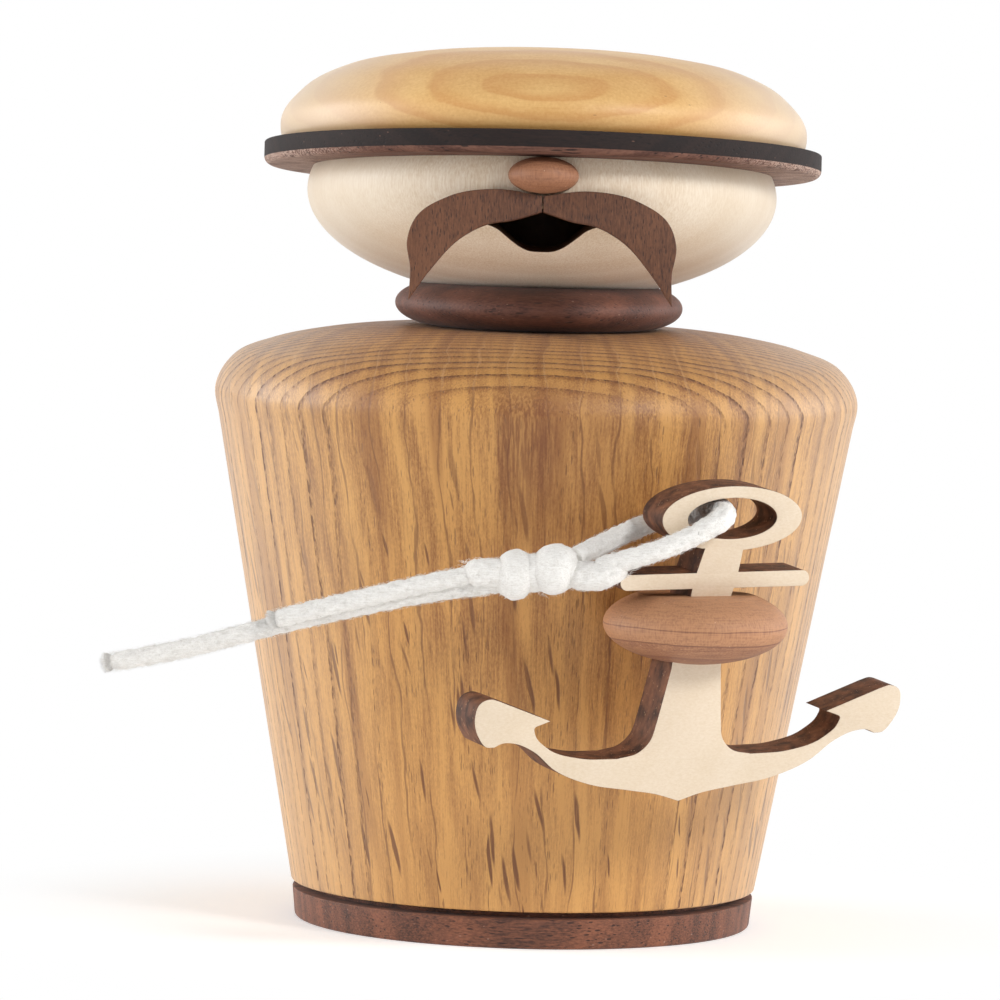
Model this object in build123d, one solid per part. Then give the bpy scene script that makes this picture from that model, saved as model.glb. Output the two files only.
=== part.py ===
from build123d import *
import os
from math import cos, pi, radians, sin, tan

# A turned wooden incense smoker: a stout sailor with a flat cap, a big moustache and an anchor
# in his hand. The figure lifts off its foot, where the incense cone burns on a brass dish, and
# the smoke rises through the hollow coat, the neck and the head and leaves by the mouth.
# Frame: origin at the centre of the foot's underside, +Z up, the face looks along -Y.

# Foot: a disc with a shadow step and a round spigot that the coat drops over
FOOT_DIA = 60.0
FOOT_THICK = 3.9
FOOT_TAPER = 0.4
FOOT_EDGE = 0.5
STEP_DIA = 55.0
STEP_HEIGHT = 0.85
SPIGOT_HEIGHT = 5.2
SPIGOT_EDGE = 0.7
SPIGOT_CLEARANCE = 0.08

# Dish for the cone, and the tack that holds it down
DISH_DIA = 22.0
DISH_BASE_DIA = 14.0
DISH_HEIGHT = 2.2
DISH_WALL = 0.5
TACK_HEAD_DIA = 3.6
TACK_HEAD_HEIGHT = 0.7
TACK_DIA = 1.2
TACK_LENGTH = 4.0

# Coat: the hollow body, with its chamber, its smoke duct and a draught hole at the back
COAT_FOOT_DIA = 60.3
COAT_DIA = 83.3
FLANK_TOP_DIA = 82.2
FLANK_HEIGHT = 60.35
SHOULDER_HEIGHT = 12.25
COAT_EDGE = 0.4
CHAMBER_DIA = 40.0
CHAMBER_HEIGHT = 49.0
CHAMBER_ROOF = 8.0
DRAUGHT_DIA = 5.5
DRAUGHT_RISE = 4.6
# The shoulder's curve, as shares of the coat's radius and of the shoulder's height
SHOULDER_SHARES = ((1.0, 0.302), (0.943, 0.637), (0.835, 0.80), (0.689, 0.914), (0.52, 0.984))
SHOULDER_FLAT_SHARE = 0.40

# Collar bead and the hollow neck tube that joins the coat to the head
COLLAR_DIA = 37.3
COLLAR_HEIGHT = 5.7
COLLAR_BEAD_WIDTH = 11.7
NECK_DIA = 16.0
NECK_BORE = 12.0
NECK_SINK = 7.0
NECK_RISE = 8.0

# Head: a flattened ball, tipped back a little, with a flat for the face and a smoke bore
HEAD_DIA = 60.8
HEAD_HEIGHT = 27.3
HEAD_RISE = 17.25
HEAD_TILT = 5.5
FACE_FLAT = 0.8
HEAD_BORE = 14.0
HEAD_BORE_TOP = 0.7
MOUTH_WIDTH = 14.6
MOUTH_LIP_DROP = 6.5
MOUTH_WING_DROP = 2.95
MOUTH_TOP_DROP = 0.8
# The lower lip's bell curve, as shares of the half width and of the lip's depth
LIP_SHARES = ((0.77, 0.194), (0.635, 0.417), (0.503, 0.64), (0.37, 0.833), (0.238, 0.956))

# Face: a bead for the nose and two mirrored plates for the moustache
NOSE_DIA = 8.9
NOSE_HEIGHT = 4.7
NOSE_RISE = 0.47
NOSE_OUT = 1.0
MOUSTACHE_HALF = 16.9
MOUSTACHE_DROP = 15.6
MOUSTACHE_THICK = 2.0
MOUSTACHE_PARTING = 0.08
# The outline of one half, as shares of its width and of its drop below the head's centre
MOUSTACHE_TOP_SHARES = ((0.0, 0.137), (0.34, 0.092), (0.71, 0.166), (0.945, 0.345), (1.0, 0.52),
                        (0.972, 0.75), (0.979, 1.0))
MOUSTACHE_LOW_SHARES = ((0.979, 1.0), (0.826, 0.76), (0.585, 0.48), (0.41, 0.379), (0.2, 0.335),
                        (0.1, 0.302), (0.0, 0.267))

# Cap: a flat brim, a domed crown and the dowel through both
BRIM_DIA = 72.2
BRIM_THICK = 3.0
BRIM_SEAT = 2.9
BRIM_EDGE = 0.25
BRIM_ROUND = 1.0
CROWN_DIA = 68.2
CROWN_HEIGHT = 12.6
CROWN_EDGE = 0.6
# The crown's dome, as shares of its radius and of its height
CROWN_SHARES = ((1.0, 0.19), (0.912, 0.56), (0.765, 0.78), (0.554, 0.908), (0.28, 0.979))
CAP_DOWEL_DIA = 8.0
CAP_DOWEL_SINK = 2.3
CAP_DOWEL_RISE = 6.0

# Hand: a flattened bead against the coat, flat on top, with the dowel that carries it
HAND_DIA = 23.0
HAND_HEIGHT = 9.8
HAND_TOP = 3.8
HAND_SEAT = 0.4
HAND_ANGLE = 25.0
HAND_LEVEL = 43.2
HAND_DOWEL_DIA = 2.4
HAND_DOWEL_SINK = 8.0
HAND_DOWEL_REACH = 9.0

# Anchor: two sawn plates in one plane, let into the hand from above and from below; its levels
# count from a centre just below the hand's
ANCHOR_THICK = 5.8
ANCHOR_PITCH = 4.5
ANCHOR_ROLL = 0.9
ANCHOR_DROP = 0.9
TENON_GAP = 3.2
RING_WIDTH = 19.3
RING_HEIGHT = 8.1
RING_HOLE_WIDTH = 12.3
RING_HOLE_HEIGHT = 5.15
RING_LEVEL = 14.63
RING_SHIFT = 2.95
NECK_WIDTH_TOP = 5.3
NECK_WIDTH_LOW = 5.9
STOCK_LENGTH = 26.1
STOCK_HEIGHT = 2.0
STOCK_LEVEL = 6.9
STOCK_SHIFT = 1.0
SHANK_WIDTH = 6.8
SHANK_LEAN = 5.4
SHANK_SHIFT = -0.65
ANCHOR_HALF_SPAN = 29.4
ANCHOR_DEPTH = 20.8
# Half of the lower plate's outline, as shares of its half span and of its depth
SHANK_SHARES = ((0.15, 0.51), (0.172, 0.632), (0.215, 0.693), (0.315, 0.729))
ARM_TOP_SHARES = ((0.315, 0.729), (0.49, 0.717), (0.65, 0.645), (0.712, 0.56), (0.717, 0.525),
                  (0.694, 0.508))
BARB_SHARES = ((0.694, 0.508), (0.648, 0.486), (0.895, 0.356))
FLUKE_SHARES = ((0.895, 0.356), (0.94, 0.341), (0.985, 0.367), (1.0, 0.45), (0.968, 0.575),
                (0.93, 0.628), (0.893, 0.632))
ARM_LOW_SHARES = ((0.893, 0.632), (0.857, 0.61), (0.796, 0.615), (0.71, 0.665), (0.597, 0.785),
                  (0.432, 0.876), (0.24, 0.923), (0.1, 0.957), (0.0, 1.0))

# Cotton cord, knotted through the anchor's ring
CORD_DIA = 2.1
ARC_SHARE = 0.45
RING_ROUTE = ((-10.0, 11.2, 4.6), (-3.5, 13.3, 5.0), (2.6, 14.6, 4.4), (2.6, 14.2, -4.4),
              (-4.0, 13.6, -4.8), (-10.5, 12.8, -4.6))
LOOP_START = (8.0, -52.0, 50.6)
LOOP_END = (5.0, -51.0, 51.6)
LONG_ROUTE = ((-6.1, -51.1, 48.0), (-13.0, -50.5, 46.8), (-21.9, -50.0, 44.7), (-32.9, -49.0, 41.8),
              (-43.5, -47.6, 38.4), (-52.4, -46.0, 36.6))
SHORT_ROUTE = ((-2.8, -52.3, 50.1), (-9.5, -52.6, 49.1), (-17.5, -52.2, 47.0), (-25.0, -51.7, 45.0),
               (-31.7, -51.3, 43.1))
KNOT_CENTRE = (1.6, -51.5, 49.95)
KNOT_TURN = 8.0
# The knot's lumps: offset along the cord and upwards, half length and radius
KNOT_LUMPS = ((-7.7, -0.7, 2.5, 2.25), (-3.8, 0.0, 2.5, 3.0), (1.1, 0.2, 3.2, 2.95), (6.0, -0.8, 2.6, 1.95))

# Overrun of every cut
CUT = 1.0

# Places that follow from the sizes
COAT_BOTTOM = FOOT_THICK + STEP_HEIGHT
SPIGOT_TOP = COAT_BOTTOM + SPIGOT_HEIGHT
SHOULDER_LEVEL = COAT_BOTTOM + FLANK_HEIGHT
COAT_TOP = SHOULDER_LEVEL + SHOULDER_HEIGHT
CHAMBER_TOP = COAT_BOTTOM + CHAMBER_HEIGHT
HEAD_LEVEL = COAT_TOP + HEAD_RISE
HEAD_PLACE = Location((0, 0, HEAD_LEVEL), (-HEAD_TILT, 0, 0))
FACE_Y = HEAD_DIA / 2 - FACE_FLAT
BRIM_TOP = BRIM_SEAT + BRIM_THICK


def coat_radius(level):
    """Outer radius of the coat's straight flank at a height above the table."""
    share = (level - COAT_BOTTOM) / FLANK_HEIGHT
    return COAT_FOOT_DIA / 2 + share * (FLANK_TOP_DIA - COAT_FOOT_DIA) / 2


HAND_REACH = coat_radius(HAND_LEVEL) + HAND_DIA / 2 - HAND_SEAT
HAND_DIRECTION = Vector(sin(radians(HAND_ANGLE)), -cos(radians(HAND_ANGLE)), 0)
HAND_CENTRE = HAND_DIRECTION * HAND_REACH + Vector(0, 0, HAND_LEVEL)
# The anchor's own plane: x along its arms, y up its shank, z out of its face
ANCHOR_PLANE = Plane(
    origin=HAND_CENTRE - Vector(0, 0, ANCHOR_DROP),
    x_dir=(cos(radians(HAND_ANGLE)), sin(radians(HAND_ANGLE)), 0),
    z_dir=HAND_DIRECTION * cos(radians(ANCHOR_PITCH)) - Vector(0, 0, sin(radians(ANCHOR_PITCH))),
).rotated((0, 0, ANCHOR_ROLL))


def shares(table, width, height):
    """Points at shares of a width and a height."""
    return [(width * across, height * up) for across, up in table]


def turned(face):
    """Solid of revolution about +Z from a face drawn with x as the radius and y as the height."""
    return revolve(Plane.XZ * face, Axis.Z)


def ring_face(inner, outer, low, high):
    """Rectangle between two radii and two heights."""
    return Pos((inner + outer) / 2, (low + high) / 2) * Rectangle(outer - inner, high - low)


def drum(diameter, low, high):
    """Upright cylinder between two heights."""
    return turned(ring_face(0, diameter / 2, low, high))


def spheroid(diameter, height):
    """Flattened ball centred on the origin, turned about +Z."""
    return turned(Ellipse(diameter / 2, height / 2) & ring_face(0, diameter, -height, height))


def foot_disc():
    """Disc, shadow step and spigot in one turned piece, with a hole for the tack."""
    radius = FOOT_DIA / 2
    disc = turned(make_face(Polyline(
        (0, 0), (radius - FOOT_TAPER, 0), (radius, FOOT_THICK), (0, FOOT_THICK), close=True)))
    disc = fillet(disc.edges().filter_by(GeomType.CIRCLE).sort_by(Axis.Z)[0], FOOT_EDGE)
    step = drum(STEP_DIA, FOOT_THICK, COAT_BOTTOM)
    spigot = drum(CHAMBER_DIA - 2 * SPIGOT_CLEARANCE, COAT_BOTTOM, SPIGOT_TOP)
    spigot = chamfer(spigot.edges().group_by(Axis.Z)[-1], SPIGOT_EDGE)
    return disc + step + spigot - drum(TACK_DIA, SPIGOT_TOP - TACK_LENGTH, SPIGOT_TOP + CUT)


def cone_dish():
    """Pressed dish with a flared wall and a hole for the tack."""
    floor, rim = DISH_BASE_DIA / 2, DISH_DIA / 2
    section = make_face(Polyline(
        (TACK_DIA / 2, 0), (floor, 0), (rim, DISH_HEIGHT - DISH_WALL), (rim, DISH_HEIGHT),
        (floor - DISH_WALL / 2, DISH_WALL), (TACK_DIA / 2, DISH_WALL), close=True))
    return Pos(0, 0, SPIGOT_TOP) * turned(section)


def dish_tack():
    """Round-headed tack through the dish into the spigot."""
    seat = SPIGOT_TOP + DISH_WALL
    head = Pos(0, 0, seat) * (spheroid(TACK_HEAD_DIA, 2 * TACK_HEAD_HEIGHT)
                              - drum(TACK_HEAD_DIA, -TACK_HEAD_DIA, 0))
    return head + drum(TACK_DIA, SPIGOT_TOP - TACK_LENGTH, seat)


def coat_outside():
    """Outer form of the coat: a straight flank, and a shoulder that rolls over to a flat top."""
    radius = COAT_DIA / 2
    flank_top = (FLANK_TOP_DIA / 2, SHOULDER_LEVEL)
    rise = (FLANK_TOP_DIA / 2 - COAT_FOOT_DIA / 2, FLANK_HEIGHT)
    curve = [(x, SHOULDER_LEVEL + y) for x, y in shares(SHOULDER_SHARES, radius, SHOULDER_HEIGHT)]
    flat = (radius * SHOULDER_FLAT_SHARE, COAT_TOP)
    shoulder = Spline(flank_top, *curve, flat, tangents=(rise, (-1, 0)))
    sides = Polyline(flat, (0, COAT_TOP), (0, COAT_BOTTOM), (COAT_FOOT_DIA / 2, COAT_BOTTOM), flank_top)
    body = turned(make_face(shoulder + sides))
    return fillet(body.edges().group_by(Axis.Z)[0], COAT_EDGE)


def chamber_space():
    """Space inside the coat: chamber, sloping roof, duct and the socket of the neck tube."""
    chamber, duct, socket = CHAMBER_DIA / 2, NECK_BORE / 2, NECK_DIA / 2
    roof = CHAMBER_TOP + CHAMBER_ROOF
    seat = COAT_TOP - NECK_SINK
    return turned(make_face(Polyline(
        (0, COAT_BOTTOM - CUT), (chamber, COAT_BOTTOM - CUT), (chamber, CHAMBER_TOP), (duct, roof),
        (duct, seat), (socket, seat), (socket, COAT_TOP + CUT), (0, COAT_TOP + CUT), close=True)))


def radial_bore(diameter, start, end, level, angle):
    """Level cylinder from one distance of the axis to another, angle in degrees from the front."""
    direction = Vector(sin(radians(angle)), -cos(radians(angle)), 0)
    plane = Plane(origin=direction * start + Vector(0, 0, level), z_dir=direction)
    return plane * Cylinder(diameter / 2, end - start, align=(Align.CENTER, Align.CENTER, Align.MIN))


def hand_dowel():
    """Peg from the coat's wall into the hand."""
    wall = coat_radius(HAND_LEVEL)
    return radial_bore(HAND_DOWEL_DIA, wall - HAND_DOWEL_SINK, wall + HAND_DOWEL_REACH,
                       HAND_LEVEL, HAND_ANGLE)


def coat(outside, dowel):
    """The hollow body with its draught hole at the back."""
    draught = radial_bore(DRAUGHT_DIA, 0, COAT_DIA, SPIGOT_TOP + DRAUGHT_RISE, 180)
    return outside - chamber_space() - draught - dowel


def head_ball():
    """Outer form of the head in its tipped place, cut off under the brim and flat at the face."""
    over = HEAD_DIA + 2 * CUT
    top = Pos(0, 0, BRIM_SEAT + over / 2) * Box(over, over, over)
    face = Pos(0, -FACE_Y - over / 2, 0) * Box(over, over, over)
    return HEAD_PLACE * (spheroid(HEAD_DIA, HEAD_HEIGHT) - top - face)


def neck_tube():
    """Hollow dowel from the coat's top through the collar into the head."""
    return turned(ring_face(NECK_BORE / 2, NECK_DIA / 2, COAT_TOP - NECK_SINK, COAT_TOP + NECK_RISE))


def collar(ball):
    """Bead round the neck, dished on top where the head sits."""
    middle = COAT_TOP + COLLAR_HEIGHT / 2
    centre = COLLAR_DIA / 2 - COLLAR_BEAD_WIDTH / 2
    bead = Pos(centre, middle) * Ellipse(COLLAR_BEAD_WIDTH / 2, COLLAR_HEIGHT / 2)
    web = ring_face(NECK_DIA / 2, centre, COAT_TOP, COAT_TOP + COLLAR_HEIGHT)
    return turned(bead + web) - drum(NECK_DIA, COAT_TOP - CUT, COAT_TOP + COLLAR_HEIGHT + CUT) - ball


def mouth_bore():
    """Level bore behind the moustache, with the lower lip's bell curve."""
    half = MOUTH_WIDTH / 2
    lip, wing = HEAD_LEVEL - MOUTH_LIP_DROP, HEAD_LEVEL - MOUTH_WING_DROP
    top = HEAD_LEVEL - MOUTH_TOP_DROP
    right = [(half * x, wing - (wing - lip) * y) for x, y in LIP_SHARES]
    left = [(-x, y) for x, y in reversed(right)]
    bell = Spline((half, wing), *right, (0, lip), *left, (-half, wing))
    roof = ThreePointArc((-half, wing), (0, top), (half, wing))
    return Plane.XZ * extrude(make_face(bell + roof), HEAD_DIA)


def cap_dowel():
    """Dowel that joins head, brim and crown."""
    return HEAD_PLACE * drum(CAP_DOWEL_DIA, BRIM_SEAT - CAP_DOWEL_SINK, BRIM_TOP + CAP_DOWEL_RISE)


def head(ball, dowel):
    """Head with the smoke bore from the neck to the mouth."""
    bore = drum(HEAD_BORE, COAT_TOP, HEAD_LEVEL - HEAD_BORE_TOP)
    socket = drum(NECK_DIA, COAT_TOP, COAT_TOP + NECK_RISE)
    return ball - bore - socket - mouth_bore() - dowel


def moustache_half(side):
    """One sawn plate of the moustache; side is 1 or -1."""
    width = MOUSTACHE_HALF - MOUSTACHE_PARTING
    edge = MOUSTACHE_PARTING
    top = [(edge + x, y) for x, y in shares(MOUSTACHE_TOP_SHARES, width, -MOUSTACHE_DROP)]
    low = [(edge + x, y) for x, y in shares(MOUSTACHE_LOW_SHARES, width, -MOUSTACHE_DROP)]
    outline = make_face(Spline(*top) + Spline(*low) + Line(low[-1], top[0]))
    plate = extrude(Plane.XZ.offset(FACE_Y) * outline, MOUSTACHE_THICK)
    if side < 0:
        plate = mirror(plate, Plane.YZ)
    return HEAD_PLACE * plate


def nose():
    """Bead under the brim, flat where it sits on the face."""
    halves = (NOSE_DIA / 2, NOSE_DIA / 2, NOSE_HEIGHT / 2)
    bead = Pos(0, -FACE_Y - NOSE_OUT, NOSE_RISE) * scale(Sphere(1), by=halves)
    over = NOSE_DIA + 2 * CUT
    face = Pos(0, -FACE_Y + over / 2, NOSE_RISE) * Box(over, over, over)
    return HEAD_PLACE * (bead - face)


def brim(dowel):
    """Flat disc, rounded below and crisp on top."""
    disc = drum(BRIM_DIA, BRIM_SEAT, BRIM_TOP)
    disc = fillet(disc.edges().filter_by(GeomType.CIRCLE).sort_by(Axis.Z)[0], BRIM_ROUND)
    disc = fillet(disc.edges().filter_by(GeomType.CIRCLE).sort_by(Axis.Z)[-1], BRIM_EDGE)
    return HEAD_PLACE * disc - dowel


def crown(dowel):
    """Domed top of the cap."""
    radius = CROWN_DIA / 2
    curve = [(x, BRIM_TOP + y) for x, y in shares(CROWN_SHARES, radius, CROWN_HEIGHT)]
    foot, top = (radius - CROWN_EDGE, BRIM_TOP), (0, BRIM_TOP + CROWN_HEIGHT)
    dome = Spline(*curve, top, tangents=((0, 1), (-1, 0)))
    low = Spline(foot, curve[0], tangents=((1, 1), (0, 1)))
    sides = Polyline(top, (0, BRIM_TOP), foot)
    return HEAD_PLACE * turned(make_face(dome + low + sides)) - dowel


def leaned(point, shift, level, lean):
    """A point of the anchor moved sideways, because the shank leans over its level arms."""
    across, up = point
    return across + shift + (up - level) * lean, up


def anchor_top_plate():
    """Ring, short shank and stock, with the tenon that enters the hand."""
    lean = (RING_SHIFT - STOCK_SHIFT) / (RING_LEVEL - STOCK_LEVEL)
    ring = Pos(RING_SHIFT, RING_LEVEL) * (
        Ellipse(RING_WIDTH / 2, RING_HEIGHT / 2) - Ellipse(RING_HOLE_WIDTH / 2, RING_HOLE_HEIGHT / 2))
    high = RING_LEVEL - (RING_HEIGHT + RING_HOLE_HEIGHT) / 4
    low = ANCHOR_DROP + TENON_GAP / 2
    outline = [(NECK_WIDTH_TOP / 2, high), (NECK_WIDTH_LOW / 2, STOCK_LEVEL), (NECK_WIDTH_TOP / 2, low),
               (-NECK_WIDTH_TOP / 2, low), (-NECK_WIDTH_LOW / 2, STOCK_LEVEL), (-NECK_WIDTH_TOP / 2, high)]
    shank = make_face(Polyline(*[leaned(p, STOCK_SHIFT, STOCK_LEVEL, lean) for p in outline], close=True))
    hole = Pos(RING_SHIFT, RING_LEVEL) * Ellipse(RING_HOLE_WIDTH / 2, RING_HOLE_HEIGHT / 2)
    stock = Pos(STOCK_SHIFT, STOCK_LEVEL) * SlotOverall(STOCK_LENGTH, STOCK_HEIGHT)
    return plate(ring + (shank - hole) + stock)


def anchor_bottom_plate():
    """Shank, arms and flukes, with the tenon that enters the hand."""
    lean = tan(radians(SHANK_LEAN))
    tenon, root = ANCHOR_DROP - TENON_GAP / 2, ANCHOR_DROP - HAND_HEIGHT / 2
    half = SHANK_WIDTH / 2

    def run(table, side):
        points = shares(table, side * ANCHOR_HALF_SPAN, -ANCHOR_DEPTH)
        return [leaned(p, SHANK_SHIFT, 0, lean) for p in points]

    def side_lines(side):
        start = [leaned((side * half, y), SHANK_SHIFT, 0, lean) for y in (tenon, root)]
        flank = run(SHANK_SHARES, side)
        lines = Line(start[0], start[1]) + Line(start[1], flank[0]) + Spline(*flank)
        lines += Spline(*run(ARM_TOP_SHARES, side)) + Polyline(*run(BARB_SHARES, side))
        return lines + Spline(*run(FLUKE_SHARES, side)) + Spline(*run(ARM_LOW_SHARES, side))

    top = Line(leaned((-half, tenon), SHANK_SHIFT, 0, lean), leaned((half, tenon), SHANK_SHIFT, 0, lean))
    return plate(make_face(side_lines(1) + side_lines(-1) + top))


def plate(outline):
    """An outline of the anchor, sawn from board in the anchor's own plane."""
    return extrude(ANCHOR_PLANE * outline, ANCHOR_THICK / 2, both=True)


def hand(outside, dowel, tenons):
    """Bead against the coat, flat on top and mortised for both plates of the anchor."""
    section = Ellipse(HAND_DIA / 2, HAND_HEIGHT / 2) & ring_face(0, HAND_DIA, -HAND_HEIGHT, HAND_TOP)
    return Location(HAND_CENTRE) * turned(section) - outside - dowel - tenons


def tube_along(points, name):
    """Cord along straight runs with tangent arcs; prints its radii and checks its volume."""
    nodes = [Vector(*p) for p in points]
    runs = [(b - a).length for a, b in zip(nodes, nodes[1:])]
    radii = []
    for before, at, after, left, right in zip(nodes, nodes[1:], nodes[2:], runs, runs[1:]):
        turn = (at - before).get_angle(after - at)
        radii.append(ARC_SHARE * min(left, right) / tan(radians(turn / 2)))
    path = FilletPolyline(*nodes, radius=radii)
    start = Plane(origin=path @ 0, z_dir=path % 0)
    solid = sweep(start * Circle(CORD_DIA / 2), path=path)
    drawn = pi * CORD_DIA**2 / 4 * path.length
    print(f"{name}: length {path.length:.1f} mm, radii {[round(r, 1) for r in radii]}, "
          f"volume {solid.volume / drawn:.4f} of its section times its length")
    return solid


def knot():
    """Lumps of a tight overhand knot, each turned about the cord's direction."""
    lumps = [Pos(along, 0, up) * Rot(0, 90, 0) * spheroid(2 * radius, 2 * half)
             for along, up, half, radius in KNOT_LUMPS]
    tied = lumps[0] + lumps[1] + lumps[2] + lumps[3]
    return Location(KNOT_CENTRE, (0, -KNOT_TURN, 0)) * tied


def cord_parts():
    """Loop through the ring, knot, long end and short end."""
    ring = [ANCHOR_PLANE.from_local_coords(Vector(*p)) for p in RING_ROUTE]
    lump = knot()
    return {
        "cord_loop": tube_along([LOOP_START, *ring, LOOP_END], "cord_loop") - lump,
        "cord_knot": lump,
        "cord_long_end": tube_along(LONG_ROUTE, "cord_long_end") - lump,
        "cord_short_end": tube_along(SHORT_ROUTE, "cord_short_end") - lump,
    }


def build():
    """All pieces by name."""
    outside, ball, tube = coat_outside(), head_ball(), neck_tube()
    peg, cap_peg = hand_dowel(), cap_dowel()
    top_plate, bottom_plate = anchor_top_plate(), anchor_bottom_plate()
    parts = {
        "foot_disc": foot_disc(),
        "cone_dish": cone_dish(),
        "dish_tack": dish_tack(),
        "coat": coat(outside, peg),
        "collar": collar(ball),
        "neck_tube": tube,
        "head": head(ball, cap_peg),
        "nose": nose(),
        "moustache_left": moustache_half(-1),
        "moustache_right": moustache_half(1),
        "brim": brim(cap_peg),
        "crown": crown(cap_peg),
        "cap_dowel": cap_peg,
        "hand": hand(outside, peg, top_plate + bottom_plate),
        "hand_dowel": peg,
        "anchor_top": top_plate,
        "anchor_bottom": bottom_plate,
    }
    parts.update(cord_parts())
    return parts


os.makedirs("parts", exist_ok=True)
for name, shape in build().items():
    export_step(shape, f"parts/{name}.step")
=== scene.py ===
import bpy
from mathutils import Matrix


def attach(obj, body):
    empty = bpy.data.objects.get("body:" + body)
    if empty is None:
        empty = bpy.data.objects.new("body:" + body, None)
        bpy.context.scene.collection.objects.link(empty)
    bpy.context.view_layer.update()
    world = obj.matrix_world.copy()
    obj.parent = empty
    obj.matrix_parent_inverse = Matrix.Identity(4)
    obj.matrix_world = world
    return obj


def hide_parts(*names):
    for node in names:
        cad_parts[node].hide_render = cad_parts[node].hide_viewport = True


bl_info = {
    "name": "Incense Smoker Sailor",
    "version": (1, 0, 0),
    "blender": (4, 5, 0),
    "location": "View3D > Sidebar > Smoker",
    "description": "Turned and sawn pieces, finishes and cord of a wooden incense smoker",
    "category": "Add Mesh",
}

from math import asin, cos, degrees, pi, radians, sin, sqrt, tan

import bmesh
import bpy
from bpy.props import FloatProperty, FloatVectorProperty, IntProperty, PointerProperty
from mathutils import Euler, Matrix, Vector
from mathutils.geometry import interpolate_bezier
from mathutils.noise import fractal, random_unit_vector, seed_set

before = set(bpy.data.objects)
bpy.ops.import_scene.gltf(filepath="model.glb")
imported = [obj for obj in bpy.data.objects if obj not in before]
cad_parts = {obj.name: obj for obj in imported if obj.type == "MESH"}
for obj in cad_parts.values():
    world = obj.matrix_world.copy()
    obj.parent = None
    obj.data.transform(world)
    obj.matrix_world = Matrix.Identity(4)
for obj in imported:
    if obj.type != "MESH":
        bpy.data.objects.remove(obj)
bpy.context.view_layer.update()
MM = 0.001
CAP_PEG = 4 * MM
BRUSH_FIBRES = 110
MERGE, FINE_MERGE = 0.001 * MM, 0.0001 * MM
FIGURE, FOOT = "figure", "foot"
WHITE = (1.0, 1.0, 1.0)


def length(name, default, about):
    """Property for a length, given here in millimetres."""
    return FloatProperty(name=name, description=about, default=default * MM, unit="LENGTH",
                         subtype="DISTANCE", precision=5)


def angle(name, default, about):
    """Property for an angle, given here in degrees."""
    return FloatProperty(name=name, description=about, default=radians(default), unit="ROTATION",
                         subtype="ANGLE")


def linear(tone):
    """Scene-linear colour of a tone that is written as red, green and blue from 0 to 255."""
    parts = [part / 255 for part in tone]
    return tuple(part / 12.92 if part <= 0.04045 else ((part + 0.055) / 1.055) ** 2.4 for part in parts)


def tone(name, default, about):
    """Property for a colour, given here as red, green and blue from 0 to 255."""
    return FloatVectorProperty(name=name, description=about, default=linear(default), size=3,
                               subtype="COLOR", min=0.0, max=1.0)


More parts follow.
